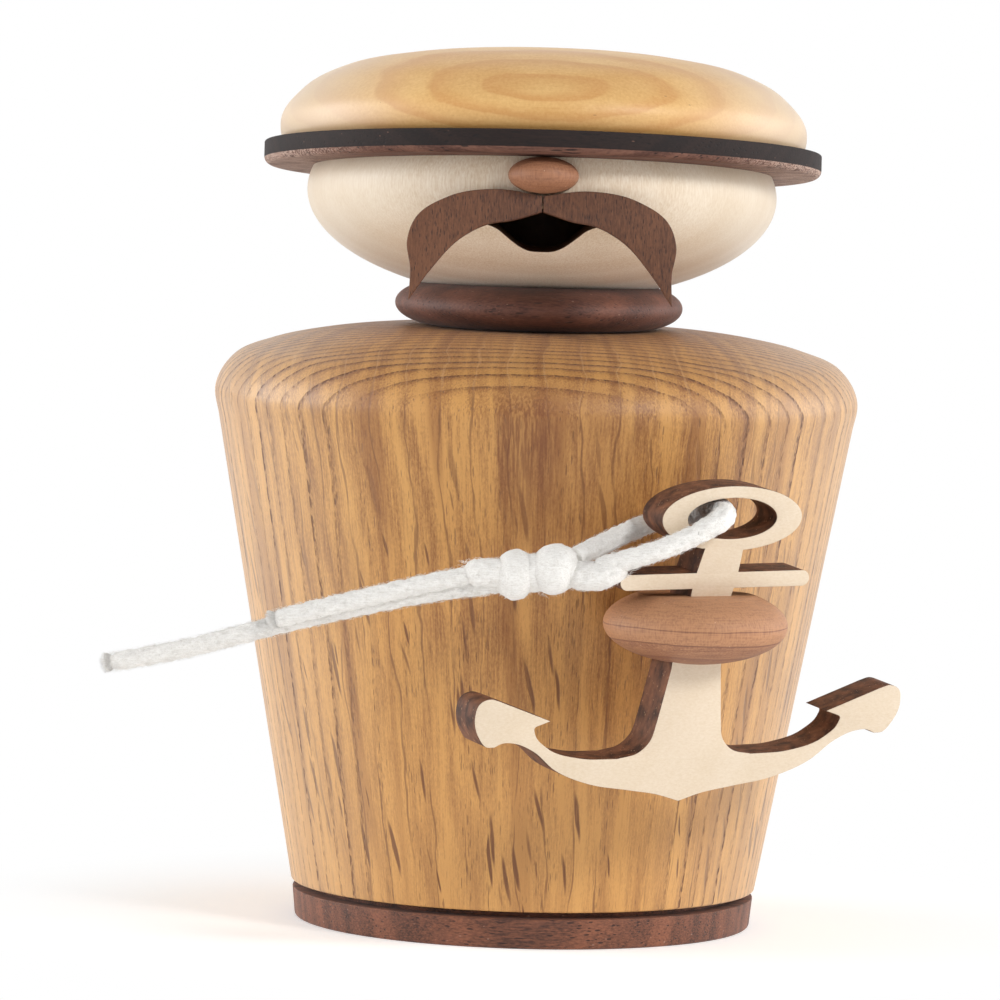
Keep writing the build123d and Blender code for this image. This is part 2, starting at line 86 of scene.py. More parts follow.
class SmokerTurned(bpy.types.PropertyGroup):
    foot_diameter: length("Foot", 60.0, "Across the foot disc")
    foot_thickness: length("Foot thickness", 3.9, "Height of the foot disc")
    foot_taper: length("Foot taper", 0.4, "How far the disc draws in at the table")
    foot_edge: length("Foot edge", 0.5, "Rounding at the table")
    step_diameter: length("Shadow step", 55.0, "Across the step between foot and coat")
    step_height: length("Step height", 0.85, "Height of the shadow gap")
    spigot_diameter: length("Spigot", 39.84, "Across the spigot that the coat drops over")
    spigot_height: length("Spigot height", 5.2, "Height of the spigot")
    spigot_edge: length("Spigot edge", 0.7, "Chamfer on the spigot")
    coat_foot: length("Coat at the foot", 60.3, "Across the coat at its lower end")
    coat_top: length("Coat at the flank's top", 82.2, "Across the straight flank where it ends")
    coat_widest: length("Coat at its widest", 83.3, "Across the shoulder")
    flank_height: length("Flank height", 60.35, "Height of the straight flank")
    shoulder_height: length("Shoulder height", 12.25, "Height of the rolled shoulder")
    coat_edge: length("Coat edge", 0.4, "Rounding at the coat's lower end")
    chamber: length("Chamber", 40.0, "Across the chamber inside")
    chamber_height: length("Chamber height", 49.0, "Height of the straight chamber")
    chamber_roof: length("Chamber roof", 8.0, "Height of the sloping roof")
    duct: length("Duct", 12.0, "Across the smoke duct")
    socket: length("Neck socket", 16.0, "Across the socket of the neck tube")
    socket_depth: length("Neck socket depth", 7.0, "Depth of that socket")
    draught: length("Draught hole", 5.5, "Across the draught hole at the back")
    draught_rise: length("Draught hole rise", 4.6, "Height of the hole over the spigot")
    collar: length("Collar", 37.3, "Across the collar bead")
    collar_height: length("Collar height", 5.7, "Height of the collar bead")
    collar_bead: length("Collar bead", 11.7, "Width of the bead's oval section")
    head: length("Head", 60.8, "Across the head")
    head_height: length("Head height", 27.3, "Height of the whole flattened ball")
    head_rise: length("Head rise", 17.25, "Head's centre over the coat's top")
    head_tilt: angle("Head tilt", 5.5, "How far head and cap are tipped back")
    face_flat: length("Face flat", 0.8, "Depth of the flat in front")
    head_bore: length("Head bore", 14.0, "Across the smoke bore in the head")
    brim: length("Brim", 72.2, "Across the brim")
    brim_thickness: length("Brim thickness", 3.0, "Thickness of the brim")
    brim_seat: length("Brim seat", 2.9, "Brim's underside over the head's centre")
    brim_edge: length("Brim edge", 0.25, "Rounding of the brim on top")
    brim_round: length("Brim rounding", 1.0, "Rounding of the brim below")
    crown: length("Crown", 68.2, "Across the crown")
    crown_height: length("Crown height", 12.6, "Height of the crown")
    crown_edge: length("Crown edge", 0.6, "How far the crown draws in at the brim")
    nose: length("Nose", 8.9, "Across the nose bead")
    nose_height: length("Nose height", 4.7, "Height of the nose bead")
    nose_rise: length("Nose rise", 0.47, "Nose over the head's centre")
    nose_out: length("Nose out", 1.0, "Nose's centre in front of the face")
    hand: length("Hand", 23.0, "Across the hand bead")
    hand_height: length("Hand height", 9.8, "Height of the whole hand bead")
    hand_top: length("Hand top", 3.8, "Hand's flat top over its centre")
    hand_level: length("Hand level", 43.2, "Hand's centre over the table")
    hand_seat: length("Hand seat", 0.4, "How far the hand is let into the coat")
    hand_angle: angle("Hand angle", 25.0, "Hand's place round the coat from the front")
    dish: length("Dish", 22.0, "Across the dish")
    dish_base: length("Dish base", 14.0, "Across the dish's floor")
    dish_height: length("Dish height", 2.2, "Height of the dish")
    dish_wall: length("Dish wall", 0.5, "Thickness of the dish")
    tack_head: length("Tack head", 3.6, "Across the tack's head")
    tack_height: length("Tack height", 0.7, "Height of the tack's head")
    tack: length("Tack", 1.2, "Across the tack's shank")
    tack_length: length("Tack length", 4.0, "How deep the tack goes")


class SmokerSawn(bpy.types.PropertyGroup):
    moustache_half: length("Moustache half", 16.9, "Width of one half of the moustache")
    moustache_drop: length("Moustache drop", 15.6, "Tip's depth below the head's centre")
    moustache_thickness: length("Moustache thickness", 2.0, "Thickness of the moustache")
    moustache_parting: length("Parting", 0.08, "Half of the gap between the halves")
    mouth_width: length("Mouth", 14.6, "Width of the mouth")
    mouth_lip: length("Lip drop", 6.5, "Lower lip below the head's centre")
    mouth_wing: length("Mouth corner drop", 2.95, "Mouth's corners below the head's centre")
    mouth_top: length("Mouth top drop", 0.8, "Mouth's roof below the head's centre")
    anchor_thickness: length("Anchor thickness", 5.8, "Thickness of the anchor's board")
    anchor_pitch: angle("Anchor pitch", 4.5, "How far the anchor faces downwards")
    anchor_roll: angle("Anchor roll", 0.9, "How far the anchor is turned in its own plane")
    anchor_drop: length("Anchor drop", 0.9, "Anchor's own origin below the hand's centre")
    ring_width: length("Ring width", 19.3, "Across the ring")
    ring_height: length("Ring height", 8.1, "Height of the ring")
    hole_width: length("Hole width", 12.3, "Across the ring's hole")
    hole_height: length("Hole height", 5.15, "Height of the ring's hole")
    ring_level: length("Ring level", 14.63, "Ring's centre over the anchor's origin")
    ring_shift: length("Ring shift", 2.95, "Ring's centre beside the origin")
    neck_top: length("Shank at its ends", 5.3, "Width of the short shank at its ends")
    neck_low: length("Shank at the stock", 5.9, "Width of the short shank at the stock")
    tenon_gap: length("Tenon gap", 3.2, "Gap between both plates inside the hand")
    stock_length: length("Stock length", 26.1, "Length of the stock")
    stock_height: length("Stock height", 2.0, "Height of the stock")
    stock_level: length("Stock level", 6.9, "Stock over the anchor's origin")
    stock_shift: length("Stock shift", 1.0, "Stock beside the origin")
    shank_width: length("Shank width", 6.8, "Width of the long shank")
    shank_lean: angle("Shank lean", 5.4, "How far the long shank leans")
    shank_shift: length("Shank shift", -0.65, "Long shank beside the origin")
    half_span: length("Arm span", 29.4, "Reach of one arm")
    depth: length("Arm depth", 20.8, "Crown of the arms below the origin")
    edge: length("Sawn edge", 0.12, "Rounding of the sawn edges")


class SmokerCord(bpy.types.PropertyGroup):
    diameter: length("Cord", 2.1, "Thickness of the cotton cord")
    plaits: IntProperty(name="Plaits", description="Strands seen round half of the cord", default=4, min=2)
    plait_pitch: length("Plait pitch", 2.6, "Length of one plait along the cord")
    plait_depth: length("Plait depth", 0.12, "Depth of the furrows between strands")
    fluff: length("Fluff", 0.11, "Unevenness of the cord's outline")
    fluff_size: length("Fluff size", 0.7, "Length of one bump in it")
    fuzz_length: length("Fuzz", 1.0, "Length of the loose fibres")
    fuzz_width: length("Fuzz width", 0.036, "Thickness of the loose fibres")
    fuzz_pitch: length("Fuzz pitch", 0.035, "Cord for each loose fibre")


class SmokerTones(bpy.types.PropertyGroup):
    oak_light: tone("Oak, light", (200, 147, 81), "Late wood of the coat")
    oak_deep: tone("Oak, deep", (138, 88, 43), "Early wood of the coat")
    oak_line: tone("Oak, line", (90, 50, 24), "Ring lines and ray ends of the coat")
    maple_light: tone("Maple, light", (246, 232, 212), "Head")
    board_light: tone("Board, light", (224, 207, 185), "Anchor's faces")
    board_deep: tone("Board, deep", (215, 195, 168), "Anchor's faces, fibres")
    maple_deep: tone("Maple, deep", (222, 198, 168), "Darker fibres of the head")
    alder_light: tone("Alder, light", (226, 184, 120), "Crown of the cap")
    alder_deep: tone("Alder, deep", (204, 152, 86), "Rings of the crown")
    walnut_light: tone("Walnut, light", (112, 73, 51), "Moustache")
    walnut_deep: tone("Walnut, deep", (46, 26, 19), "Pores of the moustache")
    collar_light: tone("Collar, light", (112, 72, 58), "Collar bead")
    collar_deep: tone("Collar, deep", (66, 40, 34), "Collar bead, darker fibres")
    foot_light: tone("Foot, light", (138, 86, 62), "Foot disc")
    foot_deep: tone("Foot, deep", (66, 40, 32), "Foot disc, darker fibres")
    pear_light: tone("Pear, light", (184, 134, 97), "Hand bead")
    pear_deep: tone("Pear, deep", (132, 88, 68), "Hand bead, rings")
    nose_light: tone("Nose, light", (162, 112, 82), "Nose bead")
    nose_deep: tone("Nose, deep", (108, 68, 52), "Nose bead, fibres")
    # Shaded and lit copies of the brim's one wood: the edge darkened as painted shade, the underside
    # lightened as painted light from the floor.
    smoked_edge: tone("Smoked edge", (38, 26, 23), "Brim's sawn edge")
    smoked_face: tone("Smoked face", (118, 82, 68), "Brim's underside")
    burnt_light: tone("Burnt wall, light", (126, 82, 58), "Sawn walls of the anchor")
    burnt_deep: tone("Burnt wall, deep", (58, 36, 27), "Sawn walls of the anchor, scorched")
    plain_light: tone("Beech, light", (222, 184, 140), "Dowels and the neck tube")
    plain_deep: tone("Beech, deep", (190, 146, 104), "Dowels and the neck tube, fibres")
    soot: tone("Soot", (112, 82, 64), "Smoke stain in the bores")
    brass: tone("Brass", (214, 176, 96), "Dish")
    tack_brass: tone("Tack brass", (224, 190, 118), "Tack")
    cotton_light: tone("Cotton, light", (249, 247, 243), "Cord")
    cotton_deep: tone("Cotton, deep", (216, 211, 204), "Furrows of the cord")


class SmokerStage(bpy.types.PropertyGroup):
    eye: FloatVectorProperty(name="Camera", description="Camera's place", default=(-0.00433, -0.975, 0.12804),
                             size=3, subtype="TRANSLATION", unit="LENGTH")
    pitch: angle("Pitch", 4.3, "How far the camera looks down")
    roll: angle("Roll", 1.6, "Camera's roll")
    lens: FloatProperty(name="Lens", description="Focal length in millimetres", default=270.8, min=1.0)
    floor: length("Floor", 6000.0, "Across the floor")
    floor_tone: tone("Floor", (250, 250, 249), "Floor's own colour")
    floor_glow: FloatProperty(name="Floor glow", description="Light of the lit table itself", default=0.3)
    surround_light: FloatProperty(name="Surround", description="Light of the surround on the object",
                                  default=0.28)


GROUPS = (SmokerTurned, SmokerSawn, SmokerCord, SmokerTones, SmokerStage)


def settings(group):
    """The scene's values of one of the groups above."""
    return getattr(bpy.context.scene, group.__name__.lower())


# Curves and outlines


def flow(points, start=None, end=None, steps=10):
    """Smooth line through points, with the directions at its ends where they are known."""
    spots = [Vector(point).to_3d() for point in points]
    slopes = []
    for i, spot in enumerate(spots):
        before, after = spots[max(i - 1, 0)], spots[min(i + 1, len(spots) - 1)]
        if 0 < i < len(spots) - 1:
            back, ahead = (spot - before).length, (after - spot).length
            slope = ((spot - before) / back * ahead + (after - spot) / ahead * back) / (back + ahead)
        else:
            slope = (after - before).normalized()
        slopes.append(slope.normalized())
    if start is not None:
        slopes[0] = Vector(start).to_3d().normalized()
    if end is not None:
        slopes[-1] = Vector(end).to_3d().normalized()
    line = [spots[0]]
    for (a, b), (from_a, to_b) in zip(zip(spots, spots[1:]), zip(slopes, slopes[1:])):
        reach = (b - a).length / 3
        line += interpolate_bezier(a, a + from_a * reach, b - to_b * reach, b, steps + 1)[1:]
    return [(point.x, point.y) for point in line]


def rounded(corner, before, after, radius, steps=5):
    """Short arc in place of a corner of an outline."""
    corner, before, after = Vector(corner), Vector(before), Vector(after)
    into, out = (before - corner).normalized(), (after - corner).normalized()
    half = into.angle(out) / 2
    reach = radius / tan(half)
    a, b = (corner + into * reach).to_3d(), (corner + out * reach).to_3d()
    pull = reach * 4 / 3 * tan((pi - 2 * half) / 4) / tan(pi / 2 - half)
    curve = interpolate_bezier(a, a - into.to_3d() * pull, b - out.to_3d() * pull, b, steps + 1)
    return [(point.x, point.y) for point in curve]


def share_points(table, width, height):
    """Points at shares of a width and a height."""
    return [(width * across, height * up) for across, up in table]


# Meshes


def smooth(bm, sharp=35.0):
    """Smooth shading, with a crease wherever two faces meet at more than an angle."""
    for face in bm.faces:
        face.smooth = True
    for edge in bm.edges:
        edge.smooth = not (edge.is_manifold and edge.calc_face_angle(0.0) > radians(sharp))


def turned(outline, steps=192):
    """Solid turned about +Z from an outline of radii and heights."""
    bm = bmesh.new()
    spots = [bm.verts.new((radius, 0.0, height)) for radius, height in outline]
    edges = [bm.edges.new(pair) for pair in zip(spots, spots[1:])]
    bmesh.ops.spin(bm, geom=spots + edges, axis=(0, 0, 1), cent=(0, 0, 0), dvec=(0, 0, 0), angle=2 * pi,
                   steps=steps, use_merge=True, use_duplicate=False)
    bmesh.ops.remove_doubles(bm, verts=bm.verts, dist=MERGE)
    bmesh.ops.dissolve_degenerate(bm, edges=bm.edges, dist=FINE_MERGE)
    bmesh.ops.recalc_face_normals(bm, faces=bm.faces)
    return bm


def oval(width, height, steps=48, low=-90.0, high=90.0):
    """Right half of an oval outline, from its lowest to its highest point."""
    turns = [radians(low + (high - low) * i / steps) for i in range(steps + 1)]
    return [(max(width / 2 * cos(turn), 0.0), height / 2 * sin(turn)) for turn in turns]


def rod(radius, low, high, steps):
    """Plain round rod about +Z between two heights."""
    return turned([(0.0, low), (radius, low), (radius, high), (0.0, high)], steps)


def block(size, centre):
    """Cube about a centre."""
    bm = bmesh.new()
    bmesh.ops.create_cube(bm, size=size, matrix=Matrix.Translation(centre))
    return bm


def placed(name, data):
    """A new object of the scene."""
    thing = bpy.data.objects.new(name, data)
    bpy.context.scene.collection.objects.link(thing)
    return thing


def mesh_of(curve):
    """The mesh that a curve makes; the curve itself goes."""
    draft = bpy.data.objects.new(curve.name, curve)
    mesh = bpy.data.meshes.new_from_object(draft)
    bpy.data.objects.remove(draft)
    bpy.data.curves.remove(curve)
    return mesh


def taken(mesh):
    """Editable copy of a mesh; the mesh itself goes."""
    bm = bmesh.new()
    bm.from_mesh(mesh)
    bpy.data.meshes.remove(mesh)
    return bm


def sawn(loops, thickness, edge):
    """Board sawn to a closed outline in its own plane, with softened edges; later loops are holes."""
    curve = bpy.data.curves.new("outline", "CURVE")
    curve.dimensions, curve.fill_mode = "2D", "BOTH"
    curve.extrude, curve.bevel_depth, curve.bevel_resolution = thickness / 2 - edge, edge, 2
    curve.offset = -edge
    for loop in loops:
        spline = curve.splines.new("POLY")
        spline.points.add(len(loop) - 1)
        for point, (across, up) in zip(spline.points, loop):
            point.co = (across, up, 0.0, 1.0)
        spline.use_cyclic_u = True
    bm = taken(mesh_of(curve))
    bmesh.ops.remove_doubles(bm, verts=bm.verts, dist=MERGE)
    bmesh.ops.recalc_face_normals(bm, faces=bm.faces)
    return bm


def carved(bm, *cutters):
    """The solid less the cutters, cut exactly."""
    drafts = []
    for part in (bm, *cutters):
        draft = placed("draft", bpy.data.meshes.new("draft"))
        part.to_mesh(draft.data)
        drafts.append(draft)
    stock, *tools = drafts
    for tool in tools:
        cut = stock.modifiers.new("cut", "BOOLEAN")
        cut.operation, cut.solver, cut.object = "DIFFERENCE", "EXACT", tool
    mesh = bpy.data.meshes.new_from_object(stock.evaluated_get(bpy.context.evaluated_depsgraph_get()))
    for draft in drafts:
        data = draft.data
        bpy.data.objects.remove(draft)
        bpy.data.meshes.remove(data)
    result = taken(mesh)
    bmesh.ops.remove_doubles(result, verts=result.verts, dist=FINE_MERGE)
    return result


def moved(bm, place):
    """The same mesh at another place."""
    bmesh.ops.transform(bm, matrix=place, verts=bm.verts)
    return bm


def piece(name, bm, finishes, body, nodes=(), sharp=35.0):
    """Puts a finished mesh in the scene on its body, in place of its nodes of the frame."""
    smooth(bm, sharp)
    mesh = bpy.data.meshes.new(name)
    bm.to_mesh(mesh)
    bm.free()
    for finish in finishes:
        mesh.materials.append(finish)
    thing = placed(name, mesh)
    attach(thing, body)
    if nodes:
        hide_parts(*nodes)
    return thing


# Places that follow from the sizes


def levels():
    """Heights of the coat's lower end, of its straight flank's top and of its own top."""
    t = settings(SmokerTurned)
    bottom = t.foot_thickness + t.step_height
    return bottom, bottom + t.flank_height, bottom + t.flank_height + t.shoulder_height


def head_place():
    """Place of the tipped head, brim and crown."""
    t = settings(SmokerTurned)
    return Matrix.Translation((0, 0, levels()[2] + t.head_rise)) @ Matrix.Rotation(-t.head_tilt, 4, "X")


def hand_place():
    """Centre of the hand."""
    t = settings(SmokerTurned)
    share = (t.hand_level - t.foot_thickness - t.step_height) / t.flank_height
    reach = t.coat_foot / 2 + share * (t.coat_top - t.coat_foot) / 2 + t.hand / 2 - t.hand_seat
    return Vector((sin(t.hand_angle) * reach, -cos(t.hand_angle) * reach, t.hand_level))


def anchor_place():
    """The anchor's own plane: x along its arms, y up its shank, z out of its face."""
    t, s = settings(SmokerTurned), settings(SmokerSawn)
    out = Vector((sin(t.hand_angle) * cos(s.anchor_pitch), -cos(t.hand_angle) * cos(s.anchor_pitch),
                  -sin(s.anchor_pitch)))
    along = Vector((cos(t.hand_angle), sin(t.hand_angle), 0))
    turn = Matrix((along, out.cross(along), out)).transposed().to_4x4()
    origin = hand_place() - Vector((0, 0, s.anchor_drop))
    return Matrix.Translation(origin) @ turn @ Matrix.Rotation(s.anchor_roll, 4, "Z")


# Finishes


class Wire:
    """A value in a finish; sums on it add the nodes that work them out."""

    def __init__(self, finish, socket):
        self.finish, self.socket = finish, socket

    def sum(self, operation, *terms):
        return self.finish.node("Math", dict(enumerate(terms)), operation=operation)

    def __add__(self, other):
        return self.sum("ADD", self, other)

    def __radd__(self, other):
        return self.sum("ADD", other, self)

    def __sub__(self, other):
        return self.sum("SUBTRACT", self, other)

    def __rsub__(self, other):
        return self.sum("SUBTRACT", other, self)

    def __mul__(self, other):
        return self.sum("MULTIPLY", self, other)

    def __rmul__(self, other):
        return self.sum("MULTIPLY", other, self)

    def __truediv__(self, other):
        return self.sum("DIVIDE", self, other)

    def __pow__(self, other):
        return self.sum("POWER", self, other)

    def __abs__(self):
        return self.sum("ABSOLUTE", self)

    def fract(self):
        return self.sum("FRACT", self)


class Finish:
    """A finish of a piece, or the light of a world, built from nodes; lengths are in millimetres."""

    def __init__(self, name, world=None):
        self.material = world or bpy.data.materials.new(name)
        self.material.use_nodes = True
        self.tree = self.material.node_tree
        self.tree.nodes.clear()

    def node(self, kind, sockets=None, output=0, stops=(), **choices):
        """Adds a node with its choices, its ramp's stops and its sockets, and returns an output."""
        item = self.tree.nodes.new("ShaderNode" + kind)
        for choice, value in choices.items():
            setattr(item, choice, value)
        for i, (at, colour) in enumerate(stops):
            stop = item.color_ramp.elements[i] if i < 2 else item.color_ramp.elements.new(at)
            stop.position, stop.color = at, (*colour, 1.0)
        for key, value in (sockets or {}).items():
            socket = item.inputs[key]
            if isinstance(value, Wire):
                self.tree.links.new(value.socket, socket)
            elif socket.type == "RGBA":
                socket.default_value = (*value, 1.0)
            else:
                socket.default_value = value
        return Wire(self, item.outputs[output]) if len(item.outputs) else None

    def spot(self, turn=(0, 0, 0), pith=(0, 0, 0)):
        """Millimetres from the pith, with z along the grain."""
        turn = Euler([radians(part) for part in turn])
        shift = -(turn.to_matrix() @ Vector(pith))
        here = self.node("TexCoord", output="Object")
        return self.node("Mapping", {"Vector": here, "Location": shift, "Rotation": turn,
                                     "Scale": (1 / MM,) * 3}, vector_type="POINT")

    def scaled(self, spot, pitch):
        """Divides a place by a length along each axis."""
        return self.node("VectorMath", {0: spot, 1: [1 / part for part in pitch]}, operation="MULTIPLY")

    def noise(self, spot, pitch, detail=2.0, rough=0.5):
        """Soft patches of about a pitch along each axis."""
        return self.node("TexNoise", {"Vector": self.scaled(spot, pitch), "Scale": 1.0, "Detail": detail,
                                      "Roughness": rough})

    def beat(self, value, detail=1.0):
        """Noise along one value."""
        return self.node("TexNoise", {"W": value, "Scale": 1.0, "Detail": detail}, noise_dimensions="1D")

    def step(self, value, low, high):
        """Soft step from 0 at low to 1 at high."""
        return self.node("MapRange", {"Value": value, "From Min": low, "From Max": high},
                         interpolation_type="SMOOTHSTEP")

    def ramp(self, value, stops):
        """Colours along a value."""
        return self.node("ValToRGB", {"Fac": value}, stops=stops)

    def mixed(self, share, first, second):
        """Mix of two colours."""
        return self.node("Mix", {0: share, 6: first, 7: second}, output=2, data_type="RGBA")

    def parts(self, spot):
        """The three parts of a place."""
        item = self.node("SeparateXYZ", {0: spot}).socket.node
        return [Wire(self, out) for out in item.outputs]

    def aside(self, low, high):
        """Soft step over the distance to the left or right of the middle."""
        return self.step(abs(self.parts(self.spot())[0]), low, high)

    def rings(self, spot, pitch, wander, patch=(28.0, 28.0, 90.0)):
        """Count of growth rings from the pith, which wanders a little."""
        flat = self.node("VectorMath", {0: spot, 1: (1, 1, 0)}, operation="MULTIPLY")
        away = self.node("VectorMath", {0: flat}, output="Value", operation="LENGTH")
        drift = (self.noise(spot, patch) - 0.5) * (2 * wander)
        shiver = (self.noise(spot, (5.0, 5.0, 30.0)) - 0.5) * (0.35 * wander)
        return (away + drift + shiver) / pitch

    def dashes(self, spot, cell, size, keep=1.0):
        """Thin dashes along the grain, one to a cell at most, as a mask."""
        cells = self.node("TexVoronoi", {"Vector": self.scaled(spot, cell), "Scale": 1.0}).socket.node
        near, pick = (Wire(self, cells.outputs[name]) for name in ("Distance", "Color"))
        luck = self.parts(pick)
        width = (luck[1] * 0.7 + 0.5) * size
        dash = 1 - self.step(near, width * 0.55, width)
        return dash if keep >= 1 else dash * luck[0].sum("LESS_THAN", luck[0], keep)

    def shown(self, colour, rough, height=None, depth=0.05, **constants):
        """Ends the finish in its shader; depth is the bump's height."""
        sockets = {"Base Color": colour, "Roughness": rough}
        if height is not None:
            sockets["Normal"] = self.node("Bump", {"Height": height, "Distance": depth * MM,
                                                   "Strength": 1.0})
        sockets.update({key.replace("_", " "): value for key, value in constants.items()})
        shader = self.node("BsdfPrincipled", sockets)
        self.node("OutputMaterial", {"Surface": shader})
        return self.material


def oak():
    """Open-pored oak whose grain follows the flare: rings that close over the shoulder, rays and pores."""
    t, c, f = settings(SmokerTurned), settings(SmokerTones), Finish("oak")
    x, y, up = f.parts(f.spot())
    foot, wide, rise = (size / MM for size in (t.coat_foot / 2, t.coat_top / 2, t.flank_height))
    flare = (up - levels()[0] / MM) * ((wide - foot) / rise / wide) + foot / wide
    across, depth = x / flare, y / flare
    spot = f.node("CombineXYZ", {0: across - 3.0, 1: depth - 70.0, 2: up})
    rings = f.rings(spot, 1.7, 1.3, (22.0, 22.0, 60.0))
    share, front = rings.fract(), f.step(rings * 1.7, 105.0, 108.5)
    turn = across.sum("ARCTAN2", across - 3.0, 70.0 - depth) * 108.0
    wander = (f.noise(spot, (8.0, 8.0, 14.0)) - 0.5) * 2.6
    fan = f.node("CombineXYZ", {0: turn + up * 0.18 + wander, 1: 0.0, 2: up})
    face = f.node("CombineXYZ", {0: turn + up * 0.06 + wander, 1: 7.0, 2: up})
    top = f.step(f.parts(f.node("NewGeometry", output="Normal"))[2], 0.3, 0.85)
    fore = f.step(depth, 14.0, -4.0)
    fibre = f.noise(spot, (0.2, 0.2, 7.0), 3.0, 0.7)
    grit = f.noise(spot, (0.22, 0.22, 0.5), 2.0, 0.6)
    streak = f.noise(face, (2.5, 1.0, 26.0), 4.0, 0.64)
    broad = f.noise(f.node("CombineXYZ", {0: turn + up * 0.05, 1: 31.0, 2: up}), (4.6, 1.0, 60.0), 1.0)
    vivid = f.beat(rings.sum("FLOOR", rings) * 0.73, 0.0) * 2.0 - 0.45
    early = f.step(share, 0.0, 0.05) * f.step(share, 0.62, 0.12)
    plain = front * (1 - top)
    band = early * (vivid * (1 - plain * 0.8) + top * 0.5)
    blend = (streak - 0.5) * 2.0 * fore + (fibre - 0.5) * 1.1 + (grit - 0.5) * 0.8 - band * 0.42 + 0.56
    colour = f.ramp(blend, [(0.1, c.oak_deep), (0.75, c.oak_light)])
    colour = f.mixed(f.step(broad, 0.54, 0.66) * (1 - top) * fore * 0.5, colour, linear((130, 76, 30)))
    colour = f.mixed(f.step(broad, 0.46, 0.3) * fore * 0.3, colour, linear((218, 166, 96)))
    # Lighter towards the bottom: painted light bounced up from the floor.
    colour = f.mixed(f.step(up, 42.0, 8.0) * 0.3, colour, linear((222, 168, 100)))
    stitch = f.step(f.noise(spot, (0.4, 0.4, 1.1), 2.0), 0.4, 0.6)
    rows = f.step(share, 0.0, 0.04) * f.step(share, 0.3, 0.08) * (1 - plain) * stitch
    rows = rows * (vivid * 0.8 + 0.35 + top * 0.3)
    pores = f.dashes(spot, (0.28, 0.28, 2.2), 0.36, 0.5) * (early * 0.5 + 0.22)
    colour = f.mixed(rows * 0.8 + pores * 0.7, colour, c.oak_line)
    rays = f.dashes(fan, (1.3, 1.0, 12.0), 0.3, 0.8) * f.step(streak, 0.26, 0.5) * (1 - top)
    rays = rays * (f.step(up, 66.0, 44.0) * 0.55 + 0.45) * fore
    colour = f.mixed(rays * 0.9, colour, linear((104, 58, 26)))
    weave = (turn + up * 0.04) / 4.4 + (wander + streak * 2.0) * 0.3
    cell = weave.fract() - 0.5
    spoke = (1 - f.step(abs(cell), 0.01, 0.045)) * fore
    broken = f.step(f.noise(face, (3.0, 1.0, 14.0), 2.0), 0.38, 0.56)
    # Mask of the top under the head's overhang, where painted shade goes.
    inner = f.step((x * x + y * y) ** 0.5, 32.0, 19.0) * top
    # Mask towards both sides for painted rim light; it also raises the coat layer there.
    side = f.step(abs(across), 17.0, 39.0) * (1 - inner)
    colour = f.mixed(spoke * (top - inner) * 0.25, colour, linear((222, 180, 130)))
    colour = f.mixed(spoke * (1 - top) * broken * 0.62, colour, linear((108, 64, 32)))
    # Top a little darker for its end grain, and darker still under the head's overhang: painted shade.
    colour = f.mixed(top * 0.12 + inner * 0.3, colour, linear((108, 66, 38)))
    lean = across + up * 0.09
    panel = f.step(lean, 0.7, 1.0) * f.step(lean, 10.5, 6.5) * f.step(up, 50.0, 66.0)
    panel = panel * (f.step(f.noise(spot, (0.3, 0.3, 3.5), 2.0), 0.4, 0.6) * 0.7 + 0.5)
    # Left of the hand: partly darker wood, partly painted shade from the hand and the knotted cord.
    darker_wood_and_painted_shade = f.step(across, -7.0, -2.0) * f.step(across, 15.0, 9.0) * f.step(up, 44.0, 54.0)
    patch_and_painted_shade = (panel * 0.5 + darker_wood_and_painted_shade * 0.22) * f.step(y, 0.0, -1.0) * (1 - top)
    # The grain patch and that painted shade, darkened together.
    colour = f.mixed(patch_and_painted_shade, colour, linear((112, 60, 24)))
    # Paler towards both sides: painted rim light.
    colour = f.mixed(side * (0.2 - rows * 0.14), colour, linear((234, 202, 158)))
    height = fibre * 0.8 + grit * 0.4 - rows - pores * 1.4 - rays - spoke * 0.2
    return f.shown(colour, 0.42 + 0.14 * streak + rows * 0.2, height, 0.06, Sheen_Weight=0.05,
                   Sheen_Roughness=0.4, Coat_Weight=0.05 + side * 0.45, Coat_Roughness=0.36)


def close_grained(name, light, deep, turn=(0, 0, 0), pith=(0, 70.0, 0), pitch=2.4, contrast=1.0, flecks=0.0,
                  wander=2.0, pore=None, pore_cell=(0.4, 0.4, 2.4), pore_share=0.45):
    """Fine wood with soft rings and short fibres, with pores where it has them."""
    f = Finish(name)
    spot = f.spot(turn, pith)
    rings = f.rings(spot, pitch, wander)
    band = f.beat(rings, 2.0)
    fibre = f.noise(spot, (0.2, 0.2, 3.4), 3.0, 0.7)
    grit = f.noise(spot, (0.24, 0.24, 0.6), 2.0, 0.6)
    cloud = f.noise(spot, (12.0, 12.0, 30.0), 2.0)
    blend = (band - 0.5) * contrast + (fibre - 0.5) * 1.5 + (grit - 0.5) * 0.7 + (cloud - 0.5) * 0.6 + 0.5
    colour = f.ramp(blend, [(0.15, deep), (0.82, light)])
    height = fibre * 0.6 + grit * 0.4
    if flecks:
        marks = f.dashes(spot, (0.5, 0.5, 2.2), 0.22, 0.5)
        colour = f.mixed(marks * flecks, colour, deep)
    if pore is not None:
        holes = f.dashes(spot, pore_cell, 0.34, pore_share)
        colour = f.mixed(holes * 0.85, colour, pore)
        height = height - holes
    return f, colour, height, spot, fibre


def maple():
    """Pale maple of the head with a fine fleck, deeper at its sides by painted shading."""
    c = settings(SmokerTones)
    f, colour, height, _, _ = close_grained("maple", c.maple_light, c.maple_deep, pith=(3.0, 70.0, 0),
                                            pitch=3.2, contrast=0.6, flecks=0.28)
    # Greyer and darker towards the sides: painted shading of the ball.
    colour = f.mixed(f.aside(8.0, 28.0) * 0.7, colour, linear((200, 185, 164)))
    return f.shown(colour, 0.45, height, 0.02, Sheen_Weight=0.2, Sheen_Roughness=0.4)


